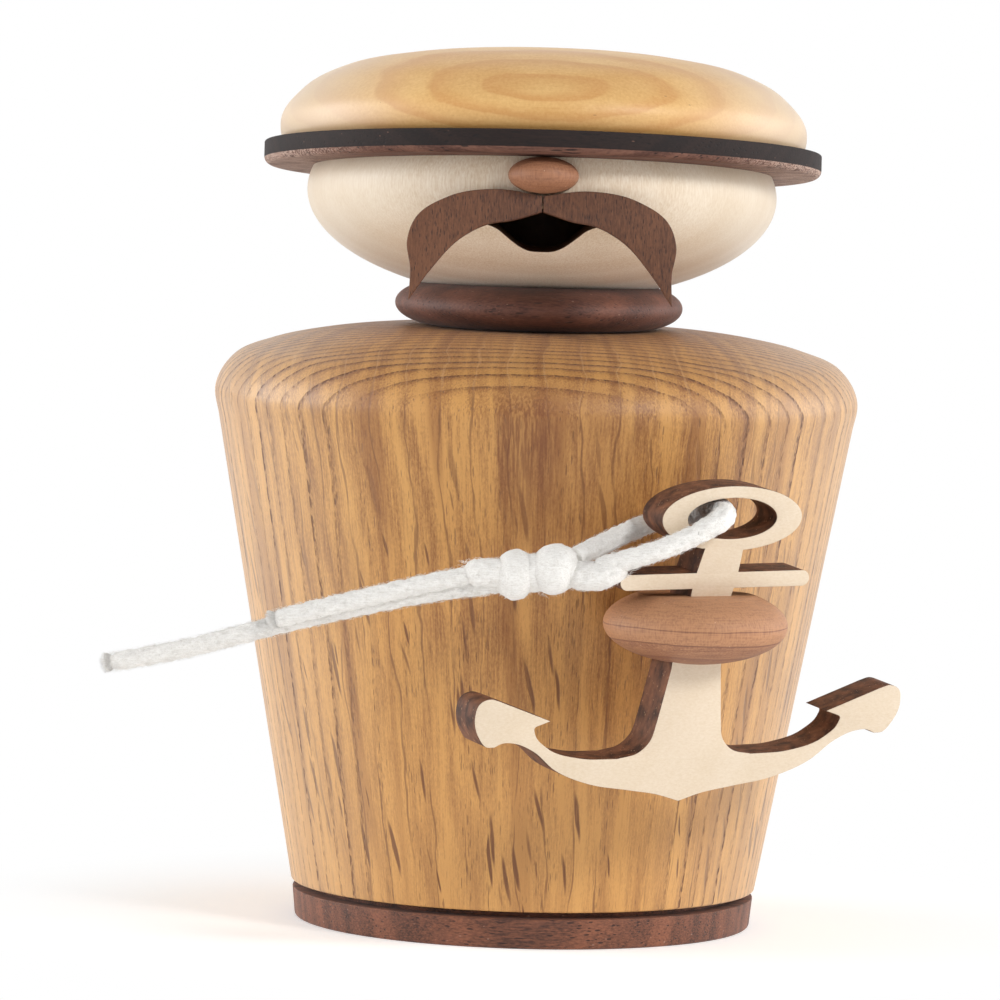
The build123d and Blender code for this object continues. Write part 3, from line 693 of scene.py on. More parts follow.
def maple_board():
    """The same wood on the anchor's sawn faces, with its grain along the arms."""
    c = settings(SmokerTones)
    f, colour, height, _, _ = close_grained("anchor_maple", c.board_light, c.board_deep, (0, 90.0, 25.0),
                                            (3.0, 70.0, 0), 3.2, 0.6, 0.28)
    return f.shown(colour, 0.5, height, 0.02, Sheen_Weight=0.2, Sheen_Roughness=0.4)


def alder():
    """Golden alder, its rings cut to soft nested ovals in front."""
    c, f = settings(SmokerTones), Finish("alder")
    here = f.spot((0, 0, 0), (0.0, -30.2, 108.7))
    drift = (f.noise(here, (26.0, 12.0, 9.0)) - 0.5) * 2.6
    shiver = (f.noise(here, (9.0, 4.0, 3.0), 3.0) - 0.5) * 0.5
    oval_place = f.scaled(here, (4.1, 4.5, 1.0))
    rings = (f.node("VectorMath", {0: oval_place}, output="Value", operation="LENGTH") + drift + shiver) / 2.0
    share = rings.fract()
    fibre = f.noise(here, (5.0, 0.25, 0.25), 3.0, 0.7)
    grit = f.noise(here, (0.4, 0.4, 0.4), 3.0, 0.6)
    cloud = f.noise(here, (15.0, 9.0, 5.0), 3.0)
    line = f.step(share, 0.3, 0.88) * f.step(share, 1.0, 0.88) * (cloud * 1.2 + 0.05)
    blend = cloud * 0.7 + fibre * 0.35 + (grit - 0.5) * 0.5
    colour = f.ramp(blend, [(0.3, c.alder_deep), (0.68, c.alder_light)])
    colour = f.mixed(line * 0.6, colour, linear((190, 124, 60)))
    low = f.step(f.parts(here)[2], 0.0, -6.0)
    colour = f.mixed(low * 0.35, colour, linear((200, 140, 72)))
    # Paler and greyer towards both sides: painted rim light; the coat layer is raised there too.
    side = f.aside(14.0, 34.0)
    colour = f.mixed(side * 0.6, colour, linear((212, 196, 172)))
    marks = f.dashes(here, (3.0, 1.0, 0.8), 0.12, 0.14)
    colour = f.mixed(marks * 0.5, colour, linear((138, 92, 52)))
    return f.shown(colour, 0.44, fibre + grit, 0.02, Sheen_Weight=0.1, Sheen_Roughness=0.4,
                   Coat_Weight=0.04 + side * 0.5, Coat_Roughness=0.36)


def walnut():
    """Open-pored walnut, sawn upright."""
    c = settings(SmokerTones)
    f, colour, height, _, _ = close_grained("walnut", c.walnut_light, linear((72, 44, 32)), pitch=1.8,
                                            contrast=0.8, wander=1.5, pore=c.walnut_deep,
                                            pore_cell=(0.22, 0.22, 1.3), pore_share=0.9)
    return f.shown(colour, 0.6, height, 0.04, Specular_IOR_Level=0.35)


def stained(name, light, deep, turn):
    """Red-brown stained wood, with pale specks where the stain missed."""
    f, colour, height, spot, fibre = close_grained(name, light, deep, turn, pitch=2.2, contrast=0.9,
                                                   pore=linear((46, 26, 22)))
    specks = f.dashes(spot, (0.8, 0.8, 1.4), 0.16, 0.35)
    colour = f.mixed(specks * 0.45, colour, linear((176, 136, 116)))
    wear_and_painted_light = f.step(f.noise(spot, (3.0, 3.0, 6.0), 3.0), 0.55, 0.72)
    colour = f.mixed(wear_and_painted_light * 0.3, colour, linear((142, 90, 68)))
    return f.shown(colour, 0.56 + 0.12 * fibre, height + specks * 0.6, 0.05, Specular_IOR_Level=0.4,
                   Sheen_Weight=0.08, Sheen_Roughness=0.4)


def pear(name, light, deep, level, pitch):
    """Steamed pear in level bands, dark under each line, with a fine upright hatch."""
    f = Finish(name)
    spot = f.spot()
    up = f.parts(spot)[2]
    sag = (f.noise(spot, (14.0, 14.0, 9.0)) - 0.5) * 0.7
    rings = (level + sag - up) / pitch
    share = rings.fract()
    fibre = f.noise(spot, (2.6, 2.6, 0.2), 3.0, 0.6)
    hatch = f.noise(spot, (0.22, 0.22, 2.0), 2.0)
    below = f.step(rings, -0.05, 0.05)
    line = f.step(share, 0.14, 0.0) * below
    grain = (fibre - 0.5) * 0.9 + (hatch - 0.5) * 0.9
    blend = grain + share * below * 0.18 - line * 0.7 - f.step(rings, -0.1, 2.4) * 0.55 + 0.7
    colour = f.ramp(blend, [(0.1, deep), (0.8, light)])
    specks = f.dashes(spot, (0.9, 0.9, 1.1), 0.11, 0.25)
    colour = f.mixed(specks * 0.6, colour, linear((226, 190, 158)))
    return f.shown(colour, 0.56, fibre * 0.8 + hatch, 0.06, Specular_IOR_Level=0.4)


def smoked(name, light, deep, pale=0.0):
    """Sawn oak darkened by smoke: open pores, a few bright scratches, and pale ends that are painted light.
    """
    f, colour, height, _, fibre = close_grained(name, light, deep, (0, 90.0, 4.0), pitch=1.6, wander=1.5,
                                                pore=linear((26, 20, 20)), pore_cell=(0.4, 0.4, 3.2),
                                                pore_share=0.6)
    specks = f.dashes(f.spot((0, 84.0, 0)), (0.6, 0.6, 2.6), 0.16, 0.3)
    colour = f.mixed(specks * 0.45, colour, linear((140, 104, 88)))
    # Pale towards the brim's left and right ends: painted light.
    wear_and_painted_light = f.aside(20.0, 36.0) * f.step(fibre, 0.42, 0.58) * pale
    colour = f.mixed(wear_and_painted_light, colour, linear((206, 180, 164)))
    return f.shown(colour, 0.7, height, 0.04, Specular_IOR_Level=0.25)


def burnt():
    """Wall left by the saw's heat: brown, scorched in bands, with pale dashes that are painted highlights."""
    c, f = settings(SmokerTones), Finish("burnt_wall")
    char = f.noise(f.spot(), (1.6, 1.6, 2.4), 4.0, 0.6)
    colour = f.ramp(char, [(0.35, c.burnt_deep), (0.68, c.burnt_light)])
    painted_glints = f.dashes(f.spot((0, 24.0, 0)), (0.4, 0.4, 3.4), 0.22, 0.55)
    # Pale dashes on the burnt wall: painted highlights.
    colour = f.mixed(painted_glints * 0.65, colour, linear((198, 158, 124)))
    return f.shown(colour, 0.66, char - painted_glints, 0.06, Specular_IOR_Level=0.3)


def sooty():
    """Inside of the smoke's way, brown with tar."""
    c, f = settings(SmokerTones), Finish("sooty_bore")
    patch = f.noise(f.spot(), (4.0, 4.0, 7.0), 4.0, 0.6)
    colour = f.ramp(patch, [(0.3, c.soot), (0.8, linear((160, 120, 90)))])
    return f.shown(colour, 0.6, patch, 0.05)


def beech():
    """Plain beech of the dowels."""
    c = settings(SmokerTones)
    f, colour, height, _, _ = close_grained("beech", c.plain_light, c.plain_deep, pith=(0, 40.0, 0),
                                            pitch=2.0, contrast=0.8, flecks=0.6)
    return f.shown(colour, 0.52, height, 0.02)


def metal(name, tone_here, rough):
    """Brass with turning marks and a little tarnish."""
    f = Finish(name)
    spot = f.spot()
    across, depth, _ = f.parts(spot)
    away = (across * across + depth * depth) ** 0.5
    marks = f.beat(away * 7.0, 2.0)
    tarnish = f.noise(spot, (2.5, 2.5, 2.5), 4.0, 0.6)
    colour = f.mixed(f.step(tarnish, 0.5, 0.75) * 0.5, tone_here, linear((150, 108, 52)))
    return f.shown(colour, rough + 0.22 * tarnish, marks, 0.01, Metallic=1.0)


def cotton():
    """Bleached cotton, bright on the strands and soft in the furrows, with stray fibres."""
    c, f = settings(SmokerTones), Finish("cotton")
    spot = f.spot()
    lint = f.noise(spot, (0.16, 0.16, 0.16), 4.0, 0.65)
    hair = f.noise(spot, (1.6, 0.14, 0.14), 3.0, 0.6)
    colour = f.ramp(lint * 0.5 + hair * 0.5, [(0.3, c.cotton_deep), (0.56, c.cotton_light)])
    motes = f.dashes(spot, (2.2, 2.2, 2.2), 0.07, 0.3)
    colour = f.mixed(motes * 0.4, colour, linear((150, 140, 126)))
    return f.shown(colour, 0.9, lint + hair, 0.09, Sheen_Weight=0.35, Sheen_Roughness=0.5,
                   Specular_IOR_Level=0.2)


# Cord


def in_metres(route, place=Matrix()):
    """Points of a route given in millimetres, at a place."""
    return [place @ (Vector(point) * MM) for point in route]


def route_points(name, route, pitch):
    """Even points along the smooth line of a route, read from its own spline."""
    curve = bpy.data.curves.new(name, "CURVE")
    curve.dimensions, curve.resolution_u = "3D", 24
    spline = curve.splines.new("NURBS")
    spline.points.add(len(route) - 1)
    for point, place in zip(spline.points, route):
        point.co = (*place, 1.0)
    spline.order_u, spline.use_endpoint_u = 3, True
    mesh = mesh_of(curve)
    line = [vertex.co.copy() for vertex in mesh.vertices]
    bpy.data.meshes.remove(mesh)
    runs = [0.0]
    for a, b in zip(line, line[1:]):
        runs.append(runs[-1] + (b - a).length)
    count = max(int(runs[-1] / pitch), 2)
    even, i = [], 0
    for k in range(count + 1):
        goal = runs[-1] * k / count
        while i < len(runs) - 2 and runs[i + 1] < goal:
            i += 1
        even.append(line[i].lerp(line[i + 1], (goal - runs[i]) / max(runs[i + 1] - runs[i], 1e-12)))
    return even


def carried_frames(line):
    """Sideways directions along a line that don't twist."""
    side, frames = None, []
    for i, spot in enumerate(line):
        ahead = (line[min(i + 1, len(line) - 1)] - line[max(i - 1, 0)]).normalized()
        if side is None:
            side = ahead.orthogonal().normalized()
        side = (side - ahead * side.dot(ahead)).normalized()
        frames.append((spot, ahead, side, ahead.cross(side)))
    return frames


def plaited(line, radius, taper, bulge, around=64):
    """Tube of plaited strands along a line; it closes over each taper and swells by a share half-way."""
    cord = settings(SmokerCord)
    frames = carried_frames(line)
    pitch = (line[1] - line[0]).length
    full = pitch * (len(line) - 1)
    bm = bmesh.new()
    bmesh.ops.create_grid(bm, x_segments=around, y_segments=len(line) - 1, size=0.5)
    for vertex in bm.verts:
        turn = (vertex.co.x + 0.5) * 2 * pi
        row = round((vertex.co.y + 0.5) * (len(line) - 1))
        spot, _, side, other = frames[row]
        run = row * pitch
        twist = run / cord.plait_pitch * pi
        crossing = abs(cos(cord.plaits * turn / 2 + twist)), abs(cos(cord.plaits * turn / 2 - twist))
        swell = max(crossing[0] ** 0.7, crossing[1] ** 0.7) - 1.0
        fluff = noise(spot + side * cos(turn) * radius + other * sin(turn) * radius, cord.fluff_size)
        reach = radius + cord.plait_depth * (swell * 2.0 + 0.5) + cord.fluff * fluff
        reach *= 1 + bulge * max(1 - ((run / full - 0.5) / 0.2) ** 2, 0.0)
        for end, here in zip(taper, (run, full - run)):
            if end and here < end:
                reach *= sqrt(max(1 - (1 - here / end) ** 2, 0.0004))
        vertex.co = spot + (side * cos(turn) + other * sin(turn)) * reach
    bmesh.ops.remove_doubles(bm, verts=bm.verts, dist=FINE_MERGE)
    holes = [edge for edge in bm.edges if edge.is_boundary]
    bmesh.ops.holes_fill(bm, edges=holes, sides=0)
    bmesh.ops.recalc_face_normals(bm, faces=bm.faces)
    return bm


def noise(spot, size):
    """Soft unevenness at a place, from -1 to 1."""
    return fractal(spot / size, 0.9, 2.0, 3)


def lint(bm, line, radius, seed, brush=0.0):
    """Loose fibres that stand off a cord, and a brush of the given length at its far end."""
    cord = settings(SmokerCord)
    seed_set(seed)
    frames = carried_frames(line)
    full = (line[1] - line[0]).length * (len(line) - 1)
    count = int(full / cord.fuzz_pitch)
    for k in range(count):
        dice = random_unit_vector()
        spot, ahead, side, other = frames[int((k + 0.5) / count * (len(frames) - 1))]
        out = (side * dice.x + other * dice.y).normalized()
        root = spot + out * radius * 0.9
        lie = (out * 0.45 + ahead * dice.z * 1.4 + out.cross(ahead) * dice.y).normalized()
        tip = root + (lie + out * 0.12) * cord.fuzz_length * (0.4 + 0.6 * abs(dice.z))
        hair(bm, root, (root + tip) / 2 + out * 0.06 * MM, tip, cord.fuzz_width)
    spot, ahead, side, other = frames[-1]
    for k in range(BRUSH_FIBRES if brush else 0):
        dice = random_unit_vector()
        lie = side * dice.x + other * dice.y
        root = spot + lie * radius * 0.85 - ahead * 0.5 * MM
        tip = root + ahead * brush * (0.55 + 0.45 * abs(dice.z)) + lie * (radius * 0.35)
        hair(bm, root, (root + tip) / 2 + out * 0.05 * MM, tip, cord.fuzz_width * 2.2)


def fluffy(line, radius, taper, seed, layers, bulge=0.0, brush=0.0):
    """Plaited tube with several layers of loose fibres."""
    bm = plaited(line, radius, taper, bulge)
    for layer in range(layers):
        lint(bm, line, radius, seed + 7 * layer, brush)
    return bm


def joined(parts):
    """One mesh of several."""
    mesh, result = bpy.data.meshes.new("joined"), bmesh.new()
    for part in parts:
        part.to_mesh(mesh)
        result.from_mesh(mesh)
        part.free()
    bpy.data.meshes.remove(mesh)
    return result


def hair(bm, root, middle, tip, width):
    """One fibre: a bent sliver with three sides."""
    side = (tip - root).orthogonal().normalized() * width / 2
    other = side.cross((tip - root).normalized())
    base = [bm.verts.new(root + side * cos(turn) + other * sin(turn)) for turn in (0, 2.1, 4.2)]
    bend = [bm.verts.new(middle + (side * cos(turn) + other * sin(turn)) * 0.8) for turn in (0, 2.1, 4.2)]
    end = bm.verts.new(tip)
    for a, b, c, d in zip(base, base[1:] + base[:1], bend, bend[1:] + bend[:1]):
        bm.faces.new((a, b, d, c))
        bm.faces.new((c, d, end))
    bm.faces.new(base[::-1])


# Operators


class SMOKER_OT_camera(bpy.types.Operator):
    """Places the camera at the photograph's viewing angle"""
    bl_idname, bl_label = "smoker.camera", "Camera"

    def execute(self, context):
        s = settings(SmokerStage)
        data = bpy.data.cameras.new("camera")
        data.lens, data.sensor_width, data.sensor_fit = s.lens, 36.0, "HORIZONTAL"
        data.clip_start, data.clip_end = 0.05, 20.0
        camera = placed("camera", data)
        look = Matrix.Rotation(pi / 2 - s.pitch, 4, "X") @ Matrix.Rotation(s.roll, 4, "Z")
        camera.matrix_world = Matrix.Translation(s.eye) @ look
        context.scene.camera = camera
        return {"FINISHED"}


class SMOKER_OT_cords(bpy.types.Operator):
    """Ties the cotton cord: loop through the ring, knot, long end and short end"""
    bl_idname, bl_label = "smoker.cords", "Cords"

    ring_route = ((-10.0, 10.5, 4.6), (-3.9, 12.6, 5.0), (2.1, 15.5, 4.4), (2.0, 14.8, -4.4),
                  (-4.4, 13.2, -4.8), (-10.2, 11.0, -4.6))
    loop_ends = ((8.0, -52.0, 50.6), (5.0, -51.0, 51.6))
    long_route = ((-6.1, -51.1, 48.0), (-13.0, -50.5, 46.8), (-21.9, -50.0, 44.7), (-32.9, -49.0, 41.8),
                  (-43.5, -47.6, 38.4), (-52.4, -46.0, 36.6))
    short_route = ((-2.8, -52.0, 50.1), (-9.5, -52.1, 49.0), (-17.5, -51.7, 46.9), (-25.0, -51.2, 44.9),
                   (-32.05, -50.9, 42.9))
    lobes = ((1.75, ((9.6, 0.2, 0.1), (7.9, -0.5, -0.9), (5.8, -0.9, -1.4), (2.4, -0.4, -0.5))),
             (1.7, ((-3.0, -0.4, 0.3), (-6.7, -0.5, 0.6), (-8.5, -0.6, 0.9), (-10.1, -0.3, 0.7))),
             (1.16, ((-2.5, 0.0, -0.6), (-5.5, 0.3, -0.8), (-7.9, 0.42, -0.87), (-10.4, 0.6, -0.95))),
             (2.35, ((4.2, 0.0, 0.0), (1.4, 0.0, 0.0), (-2.8, 0.0, 0.0), (-6.0, 0.0, 0.0))))
    bulges = ((-3.7, 2.35, 0.75, 0.8), (1.1, 2.85, 0.4, 1.6))
    knot_centre, knot_turn = (1.6, -51.5, 49.95), 8.0
    loop_swell, end_swell, bend_swell = 1.18, 1.06, 0.3
    pitch, lobe_taper, wrap_taper = 0.16 * MM, (1.5 * MM, 1.8 * MM), (1.0 * MM, 1.0 * MM)

    def execute(self, context):
        cord = settings(SmokerCord)
        finish = cotton()
        tilt = Matrix.Translation(Vector(self.knot_centre) * MM) @ Matrix.Rotation(
            -radians(self.knot_turn), 4, "Y")
        parts = []
        for size, lobe in self.lobes:
            line = route_points("lobe", in_metres(lobe, tilt), self.pitch)
            parts.append(fluffy(line, size * MM, self.lobe_taper, 5, 3))
        for along, size, reach, lean in self.bulges:
            turns = [radians(turn) for turn in range(-150, 271, 30)]
            wrap = [(along + lean * (turn - 1) / 2 / pi, -reach * cos(turn), reach * sin(turn))
                    for turn in turns]
            line = route_points("wrap", in_metres(wrap, tilt), self.pitch / 2)
            parts.append(fluffy(line, size * MM, self.wrap_taper, 6, 6))
        knot = piece("knot", joined(parts), [finish], FIGURE, ["cord_knot"], 80.0)
        first, last = in_metres(self.loop_ends)
        # Name, route, taper at both ends, and brush at the far end
        ways = (("loop", [first, *in_metres(self.ring_route, anchor_place()), last], (0.0, 0.0), 0.0),
                ("long_end", in_metres(self.long_route), (0.5 * MM, 2.0 * MM), 1.6 * MM),
                ("short_end", in_metres(self.short_route), (0.0, 1.6 * MM), 1.4 * MM))
        for seed, (name, route, taper, brush) in enumerate(ways):
            loop = name == "loop"
            line = route_points(name, route, self.pitch)
            radius = cord.diameter / 2 * (self.loop_swell if loop else self.end_swell)
            bm = fluffy(line, radius, taper, seed + 11, 2, self.bend_swell if loop else 0.0, brush)
            tube = piece(name, bm, [finish], FIGURE, ["cord_" + name], 80.0)
            sum((b - a).length for a, b in zip(line, line[1:]))
        return {"FINISHED"}


class SMOKER_OT_foot(bpy.types.Operator):
    """Turns the foot disc with its spigot, the dish and the tack"""
    bl_idname, bl_label = "smoker.foot", "Foot, dish and tack"

    rim_edge, step_edge, lip_edge = 0.15 * MM, 0.1 * MM, 0.18 * MM
    bend_outside, bend_inside = 0.6 * MM, 0.8 * MM

    def execute(self, context):
        t, c = settings(SmokerTurned), settings(SmokerTones)
        radius, thick, tack = t.foot_diameter / 2, t.foot_thickness, t.tack / 2
        step, spigot, step_top = t.step_diameter / 2, t.spigot_diameter / 2, levels()[0]
        top = step_top + t.spigot_height
        low, side = (radius - t.foot_taper, 0.0), (radius, thick)
        outline = [(0.0, 0.0), *rounded(low, (0.0, 0.0), side, t.foot_edge),
                   *rounded(side, low, (0.0, thick), self.rim_edge), (step, thick),
                   *rounded((step, step_top), (step, thick), (0.0, step_top), self.step_edge),
                   (spigot, step_top), (spigot, top - t.spigot_edge), (spigot - t.spigot_edge, top),
                   (tack, top), (tack, top - t.tack_length), (0.0, top - t.tack_length)]
        finish = stained("foot_stain", c.foot_light, c.foot_deep, (0, 90.0, 12.0))
        piece("foot", turned(outline, 256), [finish], FOOT, ["foot_disc"])
        wall, inner = t.dish_wall, (tack, t.dish_wall)
        under, floor = (t.dish_base / 2, 0.0), (t.dish_base / 2 - wall / 2, wall)
        rim, lip = (t.dish / 2, t.dish_height - wall), (t.dish / 2, t.dish_height)
        outline = [(tack, 0.0), *rounded(under, (tack, 0.0), rim, self.bend_outside),
                   *rounded(rim, under, lip, self.lip_edge), *rounded(lip, rim, floor, self.lip_edge),
                   *rounded(floor, lip, inner, self.bend_inside), inner, (tack, 0.0)]
        dish = turned([(x, top + y) for x, y in outline])
        piece("dish", dish, [metal("dish_brass", c.brass, 0.28)], FOOT, ["cone_dish"])
        seat = top + wall
        outline = [(0.0, top - t.tack_length), (tack, top - t.tack_length), (tack, seat),
                   *[(x, seat + y) for x, y in oval(t.tack_head, 2 * t.tack_height, 16, 0.0)]]
        piece("tack", turned(outline, 64), [metal("tack_brass", c.tack_brass, 0.22)], FOOT,
              ["dish_tack"])
        return {"FINISHED"}


class SMOKER_OT_coat(bpy.types.Operator):
    """Turns the hollow coat and bores its draught hole"""
    bl_idname, bl_label = "smoker.coat", "Coat"

    shoulder_shares = ((1.0, 0.302), (0.943, 0.637), (0.835, 0.80), (0.689, 0.914), (0.52, 0.984))
    flat_share = 0.40
    inner_edge, skin = 0.3 * MM, 0.02 * MM

    def execute(self, context):
        t = settings(SmokerTurned)
        bottom, shoulder, top = levels()
        low, high = (t.coat_foot / 2, bottom), (t.coat_top / 2, shoulder)
        curve = [(x, shoulder + y)
                 for x, y in share_points(self.shoulder_shares, t.coat_widest / 2, t.shoulder_height)]
        roll = flow([high, *curve, (t.coat_widest / 2 * self.flat_share, top)],
                    (high[0] - low[0], high[1] - low[1]), (-1, 0))
        chamber, duct, socket = t.chamber / 2, t.duct / 2, t.socket / 2
        roof = bottom + t.chamber_height
        foot_inside = rounded((chamber, bottom), (chamber, roof), low, self.inner_edge)
        foot_outside = rounded(low, (chamber, bottom), high, t.coat_edge)
        flank = [Vector(foot_outside[-1]).lerp(Vector(high), i / 8) for i in range(1, 8)]
        outline = [*foot_inside, *foot_outside, *flank, *roll, (socket, top),
                   (socket, top - t.socket_depth), (duct, top - t.socket_depth),
                   (duct, roof + t.chamber_roof), (chamber, roof), foot_inside[0]]
        hole = rod(t.draught / 2, 0.0, t.coat_widest / 2, 48)
        level = bottom + t.spigot_height + t.draught_rise
        moved(hole, Matrix.Translation((0, 0, level)) @ Matrix.Rotation(-pi / 2, 4, "X"))
        bm = carved(turned(outline, 320), hole)
        for face in bm.faces:
            spot = face.calc_center_median()
            away = sqrt(spot.x ** 2 + spot.y ** 2)
            within = chamber if spot.z < roof + t.chamber_roof else socket
            if away < within + self.skin and spot.z < top - self.skin:
                face.material_index = 1
        piece("coat_body", bm, [oak(), sooty()], FIGURE, ["coat"])
        return {"FINISHED"}


class SMOKER_OT_collar(bpy.types.Operator):
    """Turns the collar bead, dished for the head"""
    bl_idname, bl_label = "smoker.collar", "Collar"

    def execute(self, context):
        t, c, top = settings(SmokerTurned), settings(SmokerTones), levels()[2]
        centre, neck, half = t.collar / 2 - t.collar_bead / 2, t.socket / 2, t.collar_height / 2
        bead = [(centre + x, top + half + y) for x, y in oval(t.collar_bead, t.collar_height)]
        outline = [(neck, top), *bead, (neck, top + t.collar_height), (neck, top)]
        ball = moved(turned(oval(t.head, t.head_height, 96), 128), head_place())
        finish = stained("collar_stain", c.collar_light, c.collar_deep, (0, 90.0, 0))
        piece("collar_bead", carved(turned(outline), ball), [finish], FIGURE, ["collar"])
        return {"FINISHED"}


class SMOKER_OT_head(bpy.types.Operator):
    """Turns the head, cuts its face, mouth and bores, and adds the nose"""
    bl_idname, bl_label = "smoker.head", "Head and nose"

    lip_shares = ((0.77, 0.194), (0.635, 0.417), (0.503, 0.64), (0.37, 0.833), (0.238, 0.956))
    overrun, socket_rise, bore_drop = 2 * MM, 8 * MM, 0.7 * MM
    peg_drop, skin, bore_share = 0.6 * MM, 0.02 * MM, 0.985

    def execute(self, context):
        t, s, c = settings(SmokerTurned), settings(SmokerSawn), settings(SmokerTones)
        place = head_place()
        level = place.translation.z
        face_y = t.head / 2 - t.face_flat
        over = t.head * 1.1
        slab = block(over, (0, 0, t.brim_seat + over / 2))
        flat = block(over, (0, -face_y - over / 2, 0))
        ball = carved(turned(oval(t.head, t.head_height, 96), 256), slab, flat)
        moved(ball, place)
        top = level - t.head_rise
        bore = rod(t.head_bore / 2, top - self.overrun, level - self.bore_drop, 96)
        socket = rod(t.socket / 2, top - self.overrun, top + self.socket_rise, 96)
        half, drop = s.mouth_width / 2, s.mouth_lip - s.mouth_wing
        right = [(half * x, -s.mouth_wing - drop * y) for x, y in self.lip_shares]
        lip = flow([(half, -s.mouth_wing), *right, (0.0, -s.mouth_lip), *[(-x, y) for x, y in right[::-1]],
                    (-half, -s.mouth_wing)], steps=8)
        roof = flow([(-half, -s.mouth_wing), (0.0, -s.mouth_top), (half, -s.mouth_wing)], (1, 1), (1, -1), 8)
        mouth = sawn([lip + roof[1:-1]], t.head / 2, 0.0)
        moved(mouth, Matrix.Translation((0, -t.head / 4, level)) @ Matrix.Rotation(pi / 2, 4, "X"))
        peg = moved(rod(CAP_PEG, self.peg_drop, CAP_PEG, 64), place)
        bm = carved(ball, bore, socket, mouth, peg)
        ball_back = place.inverted()
        for face in bm.faces:
            spot = ball_back @ face.calc_center_median()
            shell = (spot.xy.length / (t.head / 2)) ** 2 + (spot.z / (t.head_height / 2)) ** 2
            inner = spot.y > self.skin - face_y and spot.z < t.brim_seat - self.skin
            if shell < self.bore_share and inner:
                face.material_index = 1
        piece("head_ball", bm, [maple(), sooty()], FIGURE, ["head"], 30.0)
        bead = turned(oval(t.nose, t.nose_height, 40), 96)
        moved(bead, Matrix.Translation((0, -face_y - t.nose_out, t.nose_rise)))
        bead = moved(carved(bead, block(over, (0, -face_y + over / 2, 0))), place)
        finish = pear("nose_pear", c.nose_light, c.nose_deep, level / MM + 0.3, 4.0)
        piece("nose_bead", bead, [finish], FIGURE, ["nose"])
        return {"FINISHED"}


class SMOKER_OT_moustache(bpy.types.Operator):
    """Saws both halves of the moustache"""
    bl_idname, bl_label = "smoker.moustache", "Moustache"

    top_shares = ((0.0, 0.137), (0.34, 0.092), (0.71, 0.166), (0.945, 0.345), (1.0, 0.52), (0.972, 0.75),
                  (0.979, 1.0))
    low_shares = ((0.979, 1.0), (0.826, 0.76), (0.585, 0.48), (0.41, 0.379), (0.2, 0.335), (0.1, 0.302),
                  (0.0, 0.267))

    def execute(self, context):
        t, s = settings(SmokerTurned), settings(SmokerSawn)
        face_y, width = t.head / 2 - t.face_flat, s.moustache_half - s.moustache_parting
        finish = walnut()
        for side, name in ((-1, "left"), (1, "right")):
            runs = [flow([(side * (s.moustache_parting + x), y)
                          for x, y in share_points(table, width, -s.moustache_drop)])
                    for table in (self.top_shares, self.low_shares)]
            bm = sawn([runs[0] + runs[1][1:]], s.moustache_thickness, s.edge)
            moved(bm, head_place() @ Matrix.Translation((0, -face_y - s.moustache_thickness / 2, 0))
                  @ Matrix.Rotation(pi / 2, 4, "X"))
            piece("moustache_half_" + name, bm, [finish], FIGURE, ["moustache_" + name])
        return {"FINISHED"}


class SMOKER_OT_cap(bpy.types.Operator):
    """Turns the brim and the crown of the cap"""
    bl_idname, bl_label = "smoker.cap", "Cap"

    crown_shares = ((1.0, 0.19), (0.912, 0.56), (0.765, 0.78), (0.554, 0.908), (0.28, 0.979))
    peg_depth = 6 * MM

    def execute(self, context):
        t, c = settings(SmokerTurned), settings(SmokerTones)
        low, high, radius = t.brim_seat, t.brim_seat + t.brim_thickness, t.brim / 2
        outline = [(CAP_PEG, low), *rounded((radius, low), (0, low), (radius, high), t.brim_round, 8),
                   *rounded((radius, high), (radius, low), (0, high), t.brim_edge), (CAP_PEG, high),
                   (CAP_PEG, low)]
        bm = turned(outline, 320)
        # Lower faces and their rounding take the lit copy, the rest the shaded copy: painted light and shade
        # of one wood.
        for face in bm.faces:
            face.material_index = int(face.calc_center_median().z < low + t.brim_round * 0.8)
        finishes = [smoked("smoked_edge", c.smoked_edge, linear((24, 16, 15))),
                    smoked("smoked_face", c.smoked_face, linear((78, 50, 42)), 0.8)]
        piece("brim_disc", moved(bm, head_place()), finishes, FIGURE, ["brim"])
        radius = t.crown / 2
        curve = [(x, high + y) for x, y in share_points(self.crown_shares, radius, t.crown_height)]
        foot = (radius - t.crown_edge, high)
        dome = flow([*curve, (0.0, high + t.crown_height)], (0, 1), (-1, 0), 12)
        wall = flow([foot, curve[0]], (1, 1), (0, 1), 6)
        peg = high + self.peg_depth
        outline = [(0.0, peg), (CAP_PEG, peg), (CAP_PEG, high), *wall, *dome[1:]]
        piece("crown_dome", moved(turned(outline, 320), head_place()), [alder()], FIGURE,
              ["crown"])
        return {"FINISHED"}


class SMOKER_OT_hand(bpy.types.Operator):
    """Turns the hand bead and seats it on the coat"""
    bl_idname, bl_label = "smoker.hand", "Hand"

    flat_edge = 0.1 * MM

    def execute(self, context):
        t, c = settings(SmokerTurned), settings(SmokerTones)
        bottom, shoulder, _ = levels()
        flat = degrees(asin(2 * t.hand_top / t.hand_height))
        bead = oval(t.hand, t.hand_height, 64, -90.0, flat)
        top = (0.0, t.hand_top)
        bead = [*bead[:-1], *rounded(bead[-1], bead[-2], top, self.flat_edge), top]
        bead = moved(turned(bead, 192), Matrix.Translation(hand_place()))
        coat = turned([(0.0, bottom), (t.coat_foot / 2, bottom), (t.coat_top / 2, shoulder),
                       (0.0, shoulder)], 320)
        finish = pear("hand_pear", c.pear_light, c.pear_deep, t.hand_level / MM + 0.15, 1.8)
        piece("hand_bead", carved(bead, coat), [finish], FIGURE, ["hand"])
        return {"FINISHED"}


